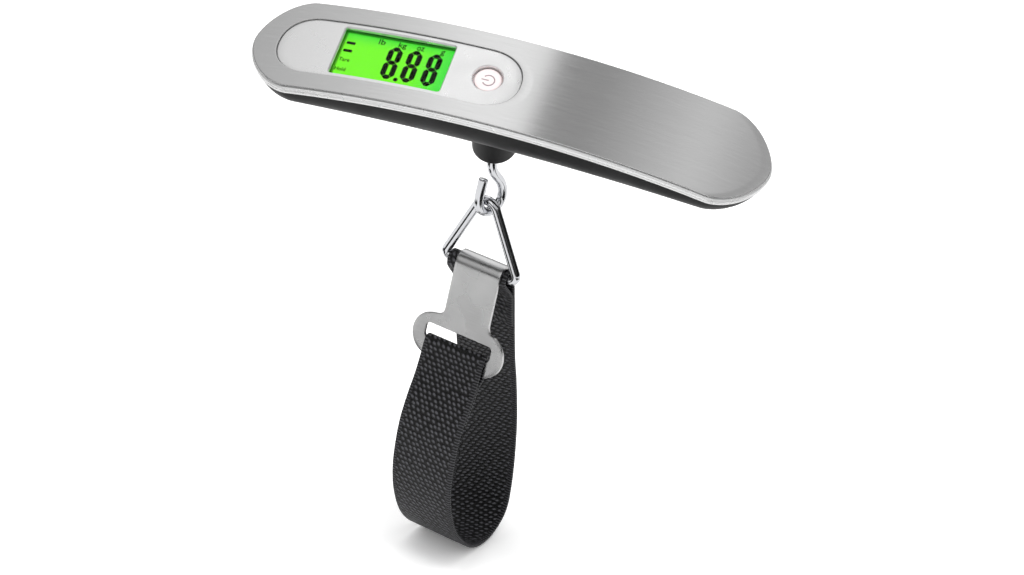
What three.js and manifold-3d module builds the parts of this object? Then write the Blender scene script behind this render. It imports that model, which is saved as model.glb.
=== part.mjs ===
// Digital luggage scale: an arched hand grip with a display, and under it a swivel hook, a triangle ring,
// a steel buckle and a loop of webbing. Millimetres, +Z up, origin at the middle of the hand grip.
import * as THREE from 'three';
import { mergeVertices } from 'three/addons/utils/BufferGeometryUtils.js';
import Module from 'manifold-3d';

const wasm = await Module();
wasm.setup();

// Gap that neighbouring pieces keep.
const CLEAR = 0.3;

// Working lengths: how far a cutter runs past what it cuts, how far joined solids reach into each other,
// and the height of a cutter that goes right through.
const OVERCUT = 1;
const EMBED = 0.3;
const THROUGH = 40;

// Sides of turned shapes, from small screws to the hub.
const FINE_SIDES = 28;
const ROUND_SIDES = 24;
const SMALL_SIDES = 16;
const POST_SIDES = 12;
const WIRE_SIDES = 10;

// Share of an edge's rounding at which its middle point stands.
const EASE_MIDDLE = 0.3;

// How the grip is held: its nose dips to the right and its display leans towards the viewer, in degrees.
const GRIP_SLOPE = 3.0;
const GRIP_LEAN = 29.3;
const GRIP_DEPTH = 10.0; // from the plate's top down to the middle of the grip

// The arch: arc lengths s run along the grip, y across it, and h up from the plate's top at its middle.
const ARCH_RADIUS = 278;

// Outlines are superellipses with half-sizes a and b and powers p (along) and q (across).
const PLATE = { centre: 0, a: 79, b: 15.4, p: 7.3, q: 3.7 };
const PLATE_T = 0.6;
const PLATE_EDGE = 0.2; // rounding of the plate's top edge
const RIM_OVERHANG = 1.6; // rim beyond the plate all round
const RIM_HEIGHT = 4.3;
const RIM_WALL = 1.6;
const RIM_EDGE = 0.9; // rounding of the rim's top edge
const RIM_PROUD = 0.1; // rim above the plate
const DECK_T = 1.2;

// The inset display panel and the windows in it.
const PANEL_MARGIN = 8; // plate's left end to the panel's
const PANEL_RIGHT = 3.4; // panel's right end from the grip's middle
const PANEL = {
  centre: (PANEL_RIGHT + PANEL_MARGIN - PLATE.a) / 2,
  a: (PANEL_RIGHT - PANEL_MARGIN + PLATE.a) / 2,
  b: 9.86,
  p: 7,
  q: 2.2,
};
const PANEL_EDGE = 0.25;
const PANEL_SINK = 0.75;
const PANEL_SKIRT = 0.9; // flange beyond the panel, under the deck
const PANEL_FLANGE_T = 1.0;
const WINDOW_SHIFT = 1.7; // window's centre left of the panel's
const WINDOW_S = PANEL.centre - WINDOW_SHIFT;
const WINDOW_L = 33.9;
const WINDOW_W = 16.5;
const WINDOW_LIP = 0.55; // how far the window's edge covers the lens
const WINDOW_CEILING = 2.0; // depth of the pocket's roof
const LENS_T = 0.8;
const LCD_T = 1.5;
const GUIDE_T = 1.5;
const GUIDE_W = 13.6;
const GUIDE_INSET = 1; // guide's ends inside the glass's
const ZEBRA_W = 1.4;
const ZEBRA_INSET = 2;

// The power button.
const BUTTON_MARGIN = 9.8; // button's centre to the panel's right end
const BUTTON_S = PANEL_RIGHT - BUTTON_MARGIN;
const BUTTON_HOLE_R = 4.45;
const BUTTON_CAP_R = 4.05;
const BUTTON_SINK = 1.25;
const BUTTON_CAP_T = 1.1;
const BUTTON_EDGE = 0.4;
const BUTTON_FLANGE_R = 5.0;
const BUTTON_FLANGE_T = 0.5;
const BUTTON_STEM_R = 1.5;
const BUTTON_TRAVEL = 0.4;
const STEM_GAP = 0.35; // stem above the switch when the button is down
const SWITCH_SIZE = 6;
const SWITCH_T = 1.0;
const SWITCH_SHIFT = 0.8; // switch right of the button's centre, on the board
const SWITCH_DOME_R = 1.6;
const SWITCH_DOME_H = 0.35;
const SWITCH_DOME_GAP = 0.05;

// The circuit board and what is on it.
const BOARD_L = 64;
const BOARD_W = 21;
const BOARD_T = 1.0;
const BOARD_SHIFT = 2.0; // board's centre from the window's, along the grip
const BOARD_POST_X = 22.5;
const BOARD_POST_Y = 8.3;
const BOARD_POST_R = 1.7;
const BOARD_POST_ROOT = 0.2; // post's root inside the panel
const BOARD_PILOT_TOP = 0.6;
const SCREW_SMALL_R = 0.7;
const SCREW_SMALL_HOLE = 0.2; // hole round a small screw
const SCREW_SMALL_HEAD = 0.8; // head beyond the shank, and its height
const SCREW_SMALL_REACH = 3; // above the board
const CHIP_SIZE = 9;
const CHIP_T = 1.0;
const CHIP_X = 16;
const LED_SIZE = 1.2;
const LED_W = 2;

// The coin cell and its holder.
const CELL_X = -5.5;
const CELL_R = 10;
const CELL_T = 3.2;
const HOLDER_WALL = 1.2;
const HOLDER_ROOF = 0.6;
const HOLDER_LIFT = 0.8; // holder's wall ends above the cell's underside
const HOLDER_NOTCH = [3.2, 6, 7];
const CELL_EDGE_LOW = 0.9;
const CELL_EDGE_HIGH = 0.3;
const CONTACT_T = 0.25;
const CONTACT_TOP = [13, 5];
const CONTACT_W = 4.4;
const BLADE_T = 0.4;
const BLADE_H = 2.4;
const BLADE_GAP = 0.35;
const TAB_L = 2.5;
const TAB_X = 1.4;
const TAB_Z = 1.0;
const RISER_X = 2.5;

// The lower case.
const CASE_DEPTH_MIDDLE = 15;
const CASE_DEPTH_END = 6;
const CASE_TAPER = 2.5; // power of the taper towards the ends
const CASE_END_POWER = 14; // power and root of the closing at the very ends
const CASE_END_ROOT = 0.4;
const CASE_ROUND = 2.8; // power of the case's cross-section
const CASE_WALL = 2.0;
const CASE_INSET = 0.3; // case inside the rim's outline
const LIP_H = 1.3;
const LIP_T = 1.2;
const LIP_ROOT = 1.2;
const SCREW_LEFT = 4; // left screws' centres from the plate's left end
const SCREW_RIGHT = 17; // right screws' centres from its right end
const CASE_SCREWS = [
  [SCREW_LEFT - PLATE.a, -4.6], [SCREW_LEFT - PLATE.a, 4.6],
  [PLATE.a - SCREW_RIGHT, -9], [PLATE.a - SCREW_RIGHT, 9],
];
const CASE_SCREW_R = 1.0;
const CASE_SCREW_HEAD_R = 1.9;
const CASE_SCREW_HEAD_T = 1.2;
const CASE_SCREW_SEAT = 3.2; // depth of the head's seat under the rim
const CASE_BOSS_R = 2.2;
const CROSS_L = 2.4; // screw's cross recess
const CROSS_W = 0.6;
const CROSS_H = 1.0;

// The battery door in the case's underside.
const DOOR_S = WINDOW_S + CELL_X;
const DOOR_L = 26.4;
const DOOR_W = 20.4;
const DOOR_RIB_T = 1.2;
const DOOR_RIB_GAP = 10;
const DOOR_RIB_SHARE = 0.5; // of the door's length
const DOOR_RIB_INSET = 0.4;
const DOORWAY_ROOF = 10; // depth at which the doorway's cut ends inside the case

// The hub under the case and the swivel in it.
const HUB_S = -4.4;
const HUB_R = 6.7;
const HUB_END = 34.2; // depth of the hub's open end
const HUB_ROUND = 1.1;
const HUB_ROOT_R = 8.6;
const HUB_ROOT_H = 2.6;
const HUB_SHOULDER = 3.4; // depths of the root's slope under the hub's top
const HUB_NECK = 4.6;
const HUB_FLARE = 0.5;
const HUB_REACH = 3; // hub's top inside the case
const BORE_GAP = 0.4;
const YOKE_R = 5.2;
const YOKE_H = 8.8;
const YOKE_RECESS = 0.8; // yoke's end inside the hub
const YOKE_SLOT = 4.4;
const YOKE_EDGE = 0.6;
const EYE_GAP = 0.6; // above the hook's eye in the slot
const PIN_ABOVE_END = 4.5; // pin's centre above the hub's open end
const PIN_R = 1.0;
const PIN_INSET = 0.4; // pin's ends inside the yoke
const STEM_R = 2.1;
const CLIP_R = 3.8;
const CLIP_T = 0.7;
const CLIP_GROOVE_R = 1.5;
const CLIP_MOUTH = 2.4;
const STEM_TIP = 0.8; // stem above its clip

// The load cell.
const BEAM_TOP = 9.5; // depth of its top face
const BEAM_T = 5;
const BEAM_W = 9;
const BEAM_START = -10;
const BEAM_END = 35;
const BEAM_HOLE_R = 1.6;
const BEAM_HOLE_X = [5, 15];
const BEAM_SLOT_H = 0.8;
const BEAM_SCREW_X = [24, 31];
const BEAM_SCREW_R = 1.2;
const BEAM_SCREW_HEAD_R = 2.2;
const BEAM_SCREW_HEAD_T = 1.3;
const BEAM_SCREW_REACH = 4.5; // below the beam
const BEAM_PILOT_REACH = 5;
const BEAM_POST_R = 3.4;
const GAUGE_L = 7;
const GAUGE_W = 5;
const GAUGE_T = 0.2;
const LEAD_W = 4;
const LEAD_T = 0.5;
const LEAD_STEPS = 14;
const LEAD_ROUTE = [[-1, 0], [-3.5, 0.05], [-5.8, 0.8], [-7.7, 2.1]]; // from the gauge, along and up
const LEAD_LAST = [1.3, -0.15]; // from the board's end

// The hook, bent from round wire. Its bowl lies in an upright plane turned HOOK_TURN degrees from the front.
const WIRE_R = 1.5;
const HOOK_TURN = 33;
const HOOK_EYE_R = 2.9;
const HOOK_EYE_T = 3.6;
const HOOK_NECK = 9; // straight length under the pin
const HOOK_BOWL_R = 4.3;
const HOOK_BOWL_SHIFT = -0.7;
const HOOK_DROP = 24.5; // pin to the bowl's bottom
const HOOK_TIP_H = 7.2; // free end above the bowl's centre
const HOOK_START = 1.5; // wire's start under the pin, inside the eye
const HOOK_BEND = 0.5; // share of the spine's height that each bend takes
const HOOK_ARC_STEPS = 12;
const HOOK_STEPS = 36;

// The triangle ring of the same wire. The chain below the hook is turned CHAIN_TURN degrees about plumb.
const CHAIN_TURN = 18.7;
const RING_HALF_BAR = 13.5;
const RING_HEIGHT = 22.85; // bar to apex, between wire centres
const RING_LIFT = 0.6; // apex above the lowest place in the bowl, because the ring hangs a little forward of it
const RING_APEX_ROUND = 3.6;
const RING_CORNER_ROUND = 1.6;
const RING_CORNER_STEPS = 6;
const RING_APEX_STEPS = 8;

// The webbing loop.
const STRAP_W = 21.6;
const STRAP_T = 1.4;
const STRAP_NECK_W = 19.4; // where it wraps the ring's bar
const LOOP_RADIUS = 19.6; // to the middle of the webbing
const LOOP_FORWARD = 2.7;
const LOOP_DROP = 75.6;
const REAR_FLAP = 18; // doubled length sewn under the ring's bar
const FRONT_FLAP = 12; // doubled length sewn under the buckle's bar
const DOUBLING = 1.35; // between the middles of doubled webbing
const WRAP_STEPS = 10;
const LOOP_STEPS = 27;
const FOLD_STEPS = 7;
const FOLD_DROP = 0.4; // fold's centre under the slot
const REAR_BENDS = [7, 9]; // where the rear flap comes to lie on the band
const REAR_START = [0.3, -1.2]; // heights at which it leaves the bar
const FRONT_BENDS = [3, 5];
const FRONT_START = 0.1;
const NECK_TOP = 9.5; // stretch that is narrower for the ring, as heights from the bar
const NECK_LOW = -3.5;

// The stamped buckle.
const BUCKLE_T = 1.4;
const BUCKLE_LEAN = 12;
const STEM_HALF = 7.95;
const LOBE_HALF_L = 16.3;
const LOBE_HALF_H = 6.9;
const LOBE_DROP = 24.4; // bar's centre down to the lobes' middle
const SHOULDER_ROUND = 2.6;
const SLOT_HALF = 11.4;
const SLOT_TOP = 21.0;
const SLOT_H = 5.0;
const LIP_SPAN = 164; // degrees that the lip runs back over the bar
const CURVE_STEPS = 12;

const rad = THREE.MathUtils.degToRad;
const grip = new THREE.Group();
grip.rotation.set(rad(GRIP_LEAN), rad(GRIP_SLOPE), 0, 'YXZ');
grip.position.set(0, 0, GRIP_DEPTH).applyEuler(grip.rotation);

const scale = new THREE.Group();
scale.name = 'luggage_scale';
scale.add(grip);

const finishes = {
  brushedSteel: [0xc9c9ca, 0.32, 1],
  silverPlastic: [0xd4d5d6, 0.3, 0.6],
  panelSilver: [0xdcdddd, 0.28, 0.7],
  blackPlastic: [0x1c1c1d, 0.5, 0],
  darkRubber: [0x2a2a2c, 0.8, 0],
  clearPlastic: [0xdfeee0, 0.08, 0],
  displayGreen: [0x6ff01c, 0.3, 0],
  frostedPlastic: [0xf2f6ee, 0.5, 0],
  buttonWhite: [0xf1e6e5, 0.35, 0],
  boardGreen: [0x1d5b34, 0.55, 0],
  epoxy: [0x151516, 0.4, 0],
  aluminium: [0xb9bbbd, 0.4, 1],
  zincSteel: [0xb4b6b8, 0.35, 1],
  chrome: [0xd9dadc, 0.12, 1],
  buckleSteel: [0xcfcfcf, 0.25, 1],
  webbing: [0x202022, 0.9, 0],
  cellSteel: [0xc4c6c8, 0.25, 1],
  foil: [0xc07a3a, 0.4, 0.6],
  ledWhite: [0xf5f3dc, 0.4, 0],
};

const MERGE_TOLERANCE = 1e-4;

function material(name) {
  const [color, roughness, metalness] = finishes[name];
  return new THREE.MeshStandardMaterial({ name, color, roughness, metalness });
}

// Turns a closed geometry into a manifold-3d solid.
function solid(geometry) {
  const bare = geometry.clone();
  for (const name of ['normal', 'uv']) {
    bare.deleteAttribute(name);
  }
  const merged = mergeVertices(bare, MERGE_TOLERANCE);
  const index = Uint32Array.from(merged.index.array);
  const body = new wasm.Manifold(new wasm.Mesh({
    numProp: 3,
    vertProperties: Float32Array.from(merged.attributes.position.array),
    triVerts: index,
  }));
  if (body.volume() > 0) {
    return body;
  }
  for (let i = 0; i < index.length; i += 3) {
    [index[i], index[i + 1]] = [index[i + 1], index[i]];
  }
  return new wasm.Manifold(new wasm.Mesh({
    numProp: 3,
    vertProperties: Float32Array.from(merged.attributes.position.array),
    triVerts: index,
  }));
}

function toGeometry(body) {
  const mesh = body.getMesh();
  const geometry = new THREE.BufferGeometry();
  geometry.setAttribute('position', new THREE.BufferAttribute(Float32Array.from(mesh.vertProperties), 3));
  geometry.setIndex(new THREE.BufferAttribute(Uint32Array.from(mesh.triVerts), 1));
  geometry.computeVertexNormals();
  return geometry;
}

// Joins the first solid with the rest.
function join(first, ...rest) {
  return rest.reduce((sum, next) => sum.add(next), first);
}

// Cuts the rest from the first solid.
function cut(first, ...rest) {
  return rest.reduce((sum, next) => sum.subtract(next), first);
}

function addMesh(parent, name, finish, shape) {
  const geometry = shape.isBufferGeometry ? shape : toGeometry(shape);
  const mesh = new THREE.Mesh(geometry, material(finish));
  mesh.name = name;
  parent.add(mesh);
  return mesh;
}

// Place on the arch: arc length s, across y, height h.
function onArch(s, y, h) {
  const angle = s / ARCH_RADIUS;
  const radius = ARCH_RADIUS + h;
  return new THREE.Vector3(radius * Math.sin(angle), y, radius * Math.cos(angle) - ARCH_RADIUS);
}

// Frame that stands on the arch at arc length s, with its z along the arch's normal.
function archFrame(s) {
  const origin = onArch(s, 0, 0);
  const frame = new THREE.Matrix4().makeRotationY(s / ARCH_RADIUS);
  return frame.setPosition(origin);
}

function grown(outline, by) {
  return { ...outline, a: outline.a + by, b: outline.b + by };
}

// Half-width of an outline at the share u of its half-length.
function halfWidth(outline, u) {
  return outline.b * (1 - Math.abs(u) ** outline.p) ** (1 / outline.q);
}

// Shares of a half-length at which sections stand: far apart in the middle and close together at the ends.
const HALF_STATIONS = 10;
const END_SHARE = 0.99994;
const STATION_POWER = 2.5;
const END_HALF_WIDTH = 0.2;
const stationShares = [];
for (let k = -HALF_STATIONS; k <= HALF_STATIONS; k += 1) {
  const share = 1 - (1 - Math.abs(k) / HALF_STATIONS) ** STATION_POWER;
  stationShares.push(Math.sign(k) * Math.min(share, END_SHARE));
}

// Closed skin through rings of points with equal counts, capped at both ends.
function loft(rings) {
  const count = rings[0].length;
  const positions = [];
  const index = [];
  for (const ring of rings) {
    for (const point of ring) {
      positions.push(point.x, point.y, point.z);
    }
  }
  for (let r = 0; r + 1 < rings.length; r += 1) {
    for (let i = 0; i < count; i += 1) {
      const a = r * count + i;
      const b = r * count + (i + 1) % count;
      index.push(a, b, a + count, b, b + count, a + count);
    }
  }
  for (const r of [0, rings.length - 1]) {
    const centre = new THREE.Vector3();
    rings[r].forEach((point) => centre.addScaledVector(point, 1 / count));
    const hub = positions.length / 3;
    positions.push(centre.x, centre.y, centre.z);
    for (let i = 0; i < count; i += 1) {
      const a = r * count + i;
      const b = r * count + (i + 1) % count;
      index.push(...(r === 0 ? [hub, b, a] : [hub, a, b]));
    }
  }
  const geometry = new THREE.BufferGeometry();
  geometry.setAttribute('position', new THREE.Float32BufferAttribute(positions, 3));
  geometry.setIndex(index);
  return geometry;
}

// Arched slab with an outline, from height low to height high, its top edge eased by round.
function slab(outline, low, high, round = 0) {
  const rings = stationShares.map((u) => {
    const s = outline.centre + outline.a * u;
    const w = Math.max(halfWidth(outline, u), END_HALF_WIDTH);
    const eased = Math.min(round, w / 2);
    const part = eased * EASE_MIDDLE;
    const profile = [[-w, low], [w, low], [w, high - eased]];
    if (eased > 0) {
      profile.push([w - part, high - part], [w - eased, high]);
      profile.push([-w + eased, high], [-w + part, high - part]);
    } else {
      profile.pop();
      profile.push([w, high]);
    }
    profile.push(eased > 0 ? [-w, high - eased] : [-w, high]);
    return profile.map(([y, h]) => onArch(s, y, h));
  });
  return solid(loft(rings));
}

// Box of full sizes whose centre is at x, y, z in a frame.
function boxAt(frame, x, y, z, dx, dy, dz) {
  const geometry = new THREE.BoxGeometry(dx, dy, dz);
  geometry.translate(x, y, z);
  geometry.applyMatrix4(frame);
  return solid(geometry);
}

// Upright cylinder between two heights in a frame.
function rod(frame, x, y, low, high, radius, sides = ROUND_SIDES) {
  const geometry = new THREE.CylinderGeometry(radius, radius, high - low, sides);
  geometry.rotateX(Math.PI / 2);
  geometry.translate(x, y, (low + high) / 2);
  geometry.applyMatrix4(frame);
  return solid(geometry);
}

const WHOLE = new THREE.Matrix4();
const RIM = grown(PLATE, RIM_OVERHANG);
const CASE = grown(RIM, -CASE_INSET);
const deckTop = -PLATE_T - CLEAR;
const deckLow = deckTop - DECK_T;
const caseTop = -RIM_HEIGHT - CLEAR;

function caseDepth(u) {
  const taper = CASE_DEPTH_END + (CASE_DEPTH_MIDDLE - CASE_DEPTH_END) * (1 - Math.abs(u) ** CASE_TAPER);
  return taper * (1 - Math.abs(u) ** CASE_END_POWER) ** CASE_END_ROOT;
}

const BOWL_STEPS = 10;
const BOWL_END_DEPTH = 0.4;

// The bowl of the lower case, drawn in by a wall: a superellipse's lower half at each station.
function caseBowl(wall, top) {
  const outline = grown(CASE, -wall);
  const rings = stationShares.map((u) => {
    const s = outline.a * u;
    const w = Math.max(halfWidth(outline, u), END_HALF_WIDTH);
    const d = Math.max(caseDepth(outline.a * u / CASE.a) - wall, BOWL_END_DEPTH);
    const ring = [];
    for (let i = 0; i <= BOWL_STEPS; i += 1) {
      const t = Math.PI * i / BOWL_STEPS;
      const y = -w * Math.sign(Math.cos(t)) * Math.abs(Math.cos(t)) ** (2 / CASE_ROUND);
      const h = -d * Math.sin(t) ** (2 / CASE_ROUND);
      ring.push(onArch(s, y, caseTop + h));
    }
    ring.push(onArch(s, w, top), onArch(s, -w, top));
    return ring;
  });
  return solid(loft(rings));
}

const windowFrame = archFrame(WINDOW_S);
const buttonFrame = archFrame(BUTTON_S);
const doorFrame = archFrame(DOOR_S);
const pocketL = WINDOW_L + 2 * (WINDOW_LIP + CLEAR);
const pocketW = WINDOW_W + 2 * (WINDOW_LIP + CLEAR);
const lensTop = -WINDOW_CEILING - CLEAR;
const lcdTop = lensTop - LENS_T - CLEAR;
const guideTop = lcdTop - LCD_T - CLEAR;
const boardTop = guideTop - GUIDE_T - CLEAR;
const boardLow = boardTop - BOARD_T;
const flangeTop = deckLow - CLEAR;
const flangeLow = flangeTop - PANEL_FLANGE_T;

function topPlate() {
  return cut(slab(PLATE, -PLATE_T, 0, PLATE_EDGE), slab(grown(PANEL, CLEAR), -PLATE_T - OVERCUT, OVERCUT));
}

function rimFrame() {
  const skin = slab(RIM, -RIM_HEIGHT, RIM_PROUD, RIM_EDGE);
  const plateSeat = slab(grown(PLATE, CLEAR), deckTop, OVERCUT);
  const hollow = slab(grown(RIM, -RIM_WALL), -RIM_HEIGHT - OVERCUT, deckLow);
  const opening = slab(grown(PANEL, CLEAR), deckLow - OVERCUT, OVERCUT);
  const posts = CASE_SCREWS.map(([s, y]) => (
    rod(archFrame(s), 0, y, caseTop, deckLow + EMBED, CASE_BOSS_R, POST_SIDES).intersect(skin)));
  const pilots = CASE_SCREWS.map(([s, y]) => (
    rod(archFrame(s), 0, y, caseTop - OVERCUT, deckLow - CLEAR, CASE_SCREW_R + CLEAR, POST_SIDES)));
  const shell = join(cut(skin, hollow), ...posts);
  return cut(shell, plateSeat, opening, ...pilots);
}

function displayBezel() {
  const face = slab(PANEL, flangeLow, -PANEL_SINK, PANEL_EDGE);
  const flange = slab(grown(PANEL, PANEL_SKIRT), flangeLow, flangeTop);
  const window = boxAt(windowFrame, 0, 0, 0, WINDOW_L, WINDOW_W, THROUGH);
  const pocket = boxAt(windowFrame, 0, 0, -WINDOW_CEILING - THROUGH / 2, pocketL, pocketW, THROUGH);
  const hole = rod(buttonFrame, 0, 0, -THROUGH, OVERCUT, BUTTON_HOLE_R, FINE_SIDES);
  const flangeRoof = CLEAR - BUTTON_SINK - BUTTON_CAP_T;
  const counterbore = rod(buttonFrame, 0, 0, -THROUGH, flangeRoof, BUTTON_FLANGE_R + CLEAR);
  const posts = boardPosts(flangeTop - postSag - BOARD_POST_ROOT, boardTop + CLEAR, BOARD_POST_R);
  const pilots = boardPosts(flangeTop - postSag - BOARD_PILOT_TOP, boardTop - OVERCUT, smallHoleR);
  const body = join(face, flange, ...posts);
  return cut(body, window, pocket, hole, counterbore, ...pilots);
}

// How far the arch sinks from the window's middle to the board's fixings.
const postSag = BOARD_POST_X ** 2 / (2 * ARCH_RADIUS);
const smallHoleR = SCREW_SMALL_R + SCREW_SMALL_HOLE;

// One upright cylinder at each of the four board fixings.
function boardPosts(high, low, radius) {
  const places = [];
  for (const x of [-BOARD_POST_X, BOARD_POST_X]) {
    for (const y of [-BOARD_POST_Y, BOARD_POST_Y]) {
      places.push(rod(windowFrame, x, y, low, high, radius, SMALL_SIDES));
    }
  }
  return places;
}

function displayStack() {
  const lensL = pocketL - 2 * CLEAR;
  const lensW = pocketW - 2 * CLEAR;
  const layer = (top, thick, l, w) => boxAt(windowFrame, 0, 0, top - thick / 2, l, w, thick);
  addMesh(grip, 'display_lens', 'clearPlastic', layer(lensTop, LENS_T, lensL, lensW));
  addMesh(grip, 'lcd_glass', 'displayGreen', layer(lcdTop, LCD_T, lensL, lensW));
  addMesh(grip, 'light_guide', 'frostedPlastic', layer(guideTop, GUIDE_T, lensL - 2 * GUIDE_INSET, GUIDE_W));
  const zebraY = GUIDE_W / 2 + CLEAR + ZEBRA_W / 2;
  const zebraH = guideTop - boardTop - CLEAR;
  for (const [side, sign] of [['front', -1], ['rear', 1]]) {
    const zebraL = lensL - 2 * ZEBRA_INSET;
    const strip = boxAt(windowFrame, 0, sign * zebraY, guideTop - zebraH / 2, zebraL, ZEBRA_W, zebraH);
    addMesh(grip, `zebra_strip_${side}`, 'darkRubber', strip);
  }
  const ledX = lensL / 2 - GUIDE_INSET + CLEAR + LED_SIZE / 2;
  for (const [side, sign] of [['left', -1], ['right', 1]]) {
    const led = boxAt(windowFrame, sign * ledX, 0, boardTop + CLEAR + LED_SIZE / 2, LED_SIZE, LED_W, LED_SIZE);
    addMesh(grip, `backlight_led_${side}`, 'ledWhite', led);
  }
}

function buttonCap() {
  const top = -BUTTON_SINK;
  const low = top - BUTTON_CAP_T;
  const flangeEnd = low - BUTTON_FLANGE_T;
  const stemLow = switchDomeTop() + BUTTON_TRAVEL + STEM_GAP;
  const profile = [
    [0, top], [BUTTON_CAP_R - BUTTON_EDGE, top], [BUTTON_CAP_R, top - BUTTON_EDGE], [BUTTON_CAP_R, low],
    [BUTTON_FLANGE_R, low], [BUTTON_FLANGE_R, flangeEnd], [BUTTON_STEM_R, flangeEnd],
    [BUTTON_STEM_R, stemLow], [0, stemLow],
  ];
  return turned(profile, buttonFrame, FINE_SIDES);
}

// Height of the switch's dome under the button, in the button's own frame.
function switchDomeTop() {
  const boardAtButton = boardTop + (BUTTON_S - WINDOW_S) ** 2 / (2 * ARCH_RADIUS);
  return boardAtButton + CLEAR + SWITCH_T + SWITCH_DOME_H + SWITCH_DOME_GAP;
}

// Solid turned about its frame's z axis. The profile gives radius and height, from the axis and back to it.
function turned(profile, frame, sides) {
  const points = profile.map(([r, h]) => new THREE.Vector2(r, h));
  const geometry = new THREE.LatheGeometry(points, sides);
  geometry.rotateX(Math.PI / 2);
  geometry.applyMatrix4(frame);
  return solid(geometry);
}

function circuitBoard() {
  const board = boxAt(windowFrame, BOARD_SHIFT, 0, boardTop - BOARD_T / 2, BOARD_L, BOARD_W, BOARD_T);
  return cut(board, ...boardPosts(boardTop + OVERCUT, boardLow - OVERCUT, smallHoleR));
}

function boardScrews() {
  const headLow = boardLow - CLEAR - SCREW_SMALL_HEAD;
  const top = boardTop + SCREW_SMALL_REACH;
  let number = 1;
  for (const x of [-BOARD_POST_X, BOARD_POST_X]) {
    for (const y of [-BOARD_POST_Y, BOARD_POST_Y]) {
      const shank = rod(windowFrame, x, y, headLow + EMBED, top, SCREW_SMALL_R, POST_SIDES);
      const headR = SCREW_SMALL_R + SCREW_SMALL_HEAD;
      const head = rod(windowFrame, x, y, headLow, headLow + SCREW_SMALL_HEAD, headR, SMALL_SIDES);
      addMesh(grip, `board_screw_${number}`, 'zincSteel', join(shank, head));
      number += 1;
    }
  }
}

function switchBody() {
  const dx = onArch(BUTTON_S, 0, 0).applyMatrix4(windowFrame.clone().invert()).x + SWITCH_SHIFT;
  const low = boardTop + CLEAR;
  const base = boxAt(windowFrame, dx, 0, low + SWITCH_T / 2, SWITCH_SIZE, SWITCH_SIZE, SWITCH_T);
  const domeTop = low + SWITCH_T + SWITCH_DOME_H;
  return join(base, rod(windowFrame, dx, 0, low + EMBED, domeTop, SWITCH_DOME_R, SMALL_SIDES));
}

function batteryGroup() {
  const holderTop = boardLow - CLEAR;
  const innerR = CELL_R + CLEAR;
  const cellTop = holderTop - HOLDER_ROOF - CONTACT_T - 2 * CLEAR;
  const cellLow = cellTop - CELL_T;
  const wallLow = cellLow + HOLDER_LIFT;
  const cup = rod(windowFrame, CELL_X, 0, wallLow, holderTop, innerR + HOLDER_WALL, FINE_SIDES);
  const hollow = rod(windowFrame, CELL_X, 0, wallLow - OVERCUT, holderTop - HOLDER_ROOF, innerR, FINE_SIDES);
  const notch = boxAt(windowFrame, CELL_X + innerR + OVERCUT, 0, wallLow, ...HOLDER_NOTCH);
  addMesh(grip, 'battery_holder', 'blackPlastic', cut(cup, hollow, notch));
  const contactTop = holderTop - HOLDER_ROOF - CLEAR;
  const strip = boxAt(windowFrame, CELL_X, 0, contactTop - CONTACT_T / 2, ...CONTACT_TOP, CONTACT_T);
  addMesh(grip, 'battery_contact_top', 'zincSteel', strip);
  const wallX = CELL_X + innerR;
  const blade = boxAt(windowFrame, wallX + BLADE_GAP, 0, (cellTop + cellLow) / 2, BLADE_T, CONTACT_W, BLADE_H);
  const tab = boxAt(windowFrame, wallX + TAB_X, 0, cellLow + TAB_Z, TAB_L, CONTACT_W, BLADE_T);
  const riserTop = boardLow - CLEAR;
  const riser = boxAt(windowFrame, wallX + RISER_X, 0, (riserTop + wallLow) / 2,
    BLADE_T, CONTACT_W, riserTop - wallLow);
  addMesh(grip, 'battery_contact_side', 'zincSteel', join(blade, tab, riser));
  const cell = turned([
    [0, cellLow], [CELL_R - CELL_EDGE_LOW, cellLow], [CELL_R, cellLow + CELL_EDGE_LOW / 2],
    [CELL_R, cellTop - CELL_EDGE_HIGH], [CELL_R - CELL_EDGE_HIGH, cellTop], [0, cellTop],
  ], windowFrame.clone().multiply(new THREE.Matrix4().makeTranslation(CELL_X, 0, 0)), FINE_SIDES);
  addMesh(grip, 'coin_cell', 'cellSteel', cell);
  return cellLow;
}

const pinDepth = HUB_END - PIN_ABOVE_END;
const hubX = onArch(HUB_S, 0, 0).x;
const hubFrame = new THREE.Matrix4().makeTranslation(hubX, 0, 0);
const hubBore = YOKE_R + BORE_GAP;

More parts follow.
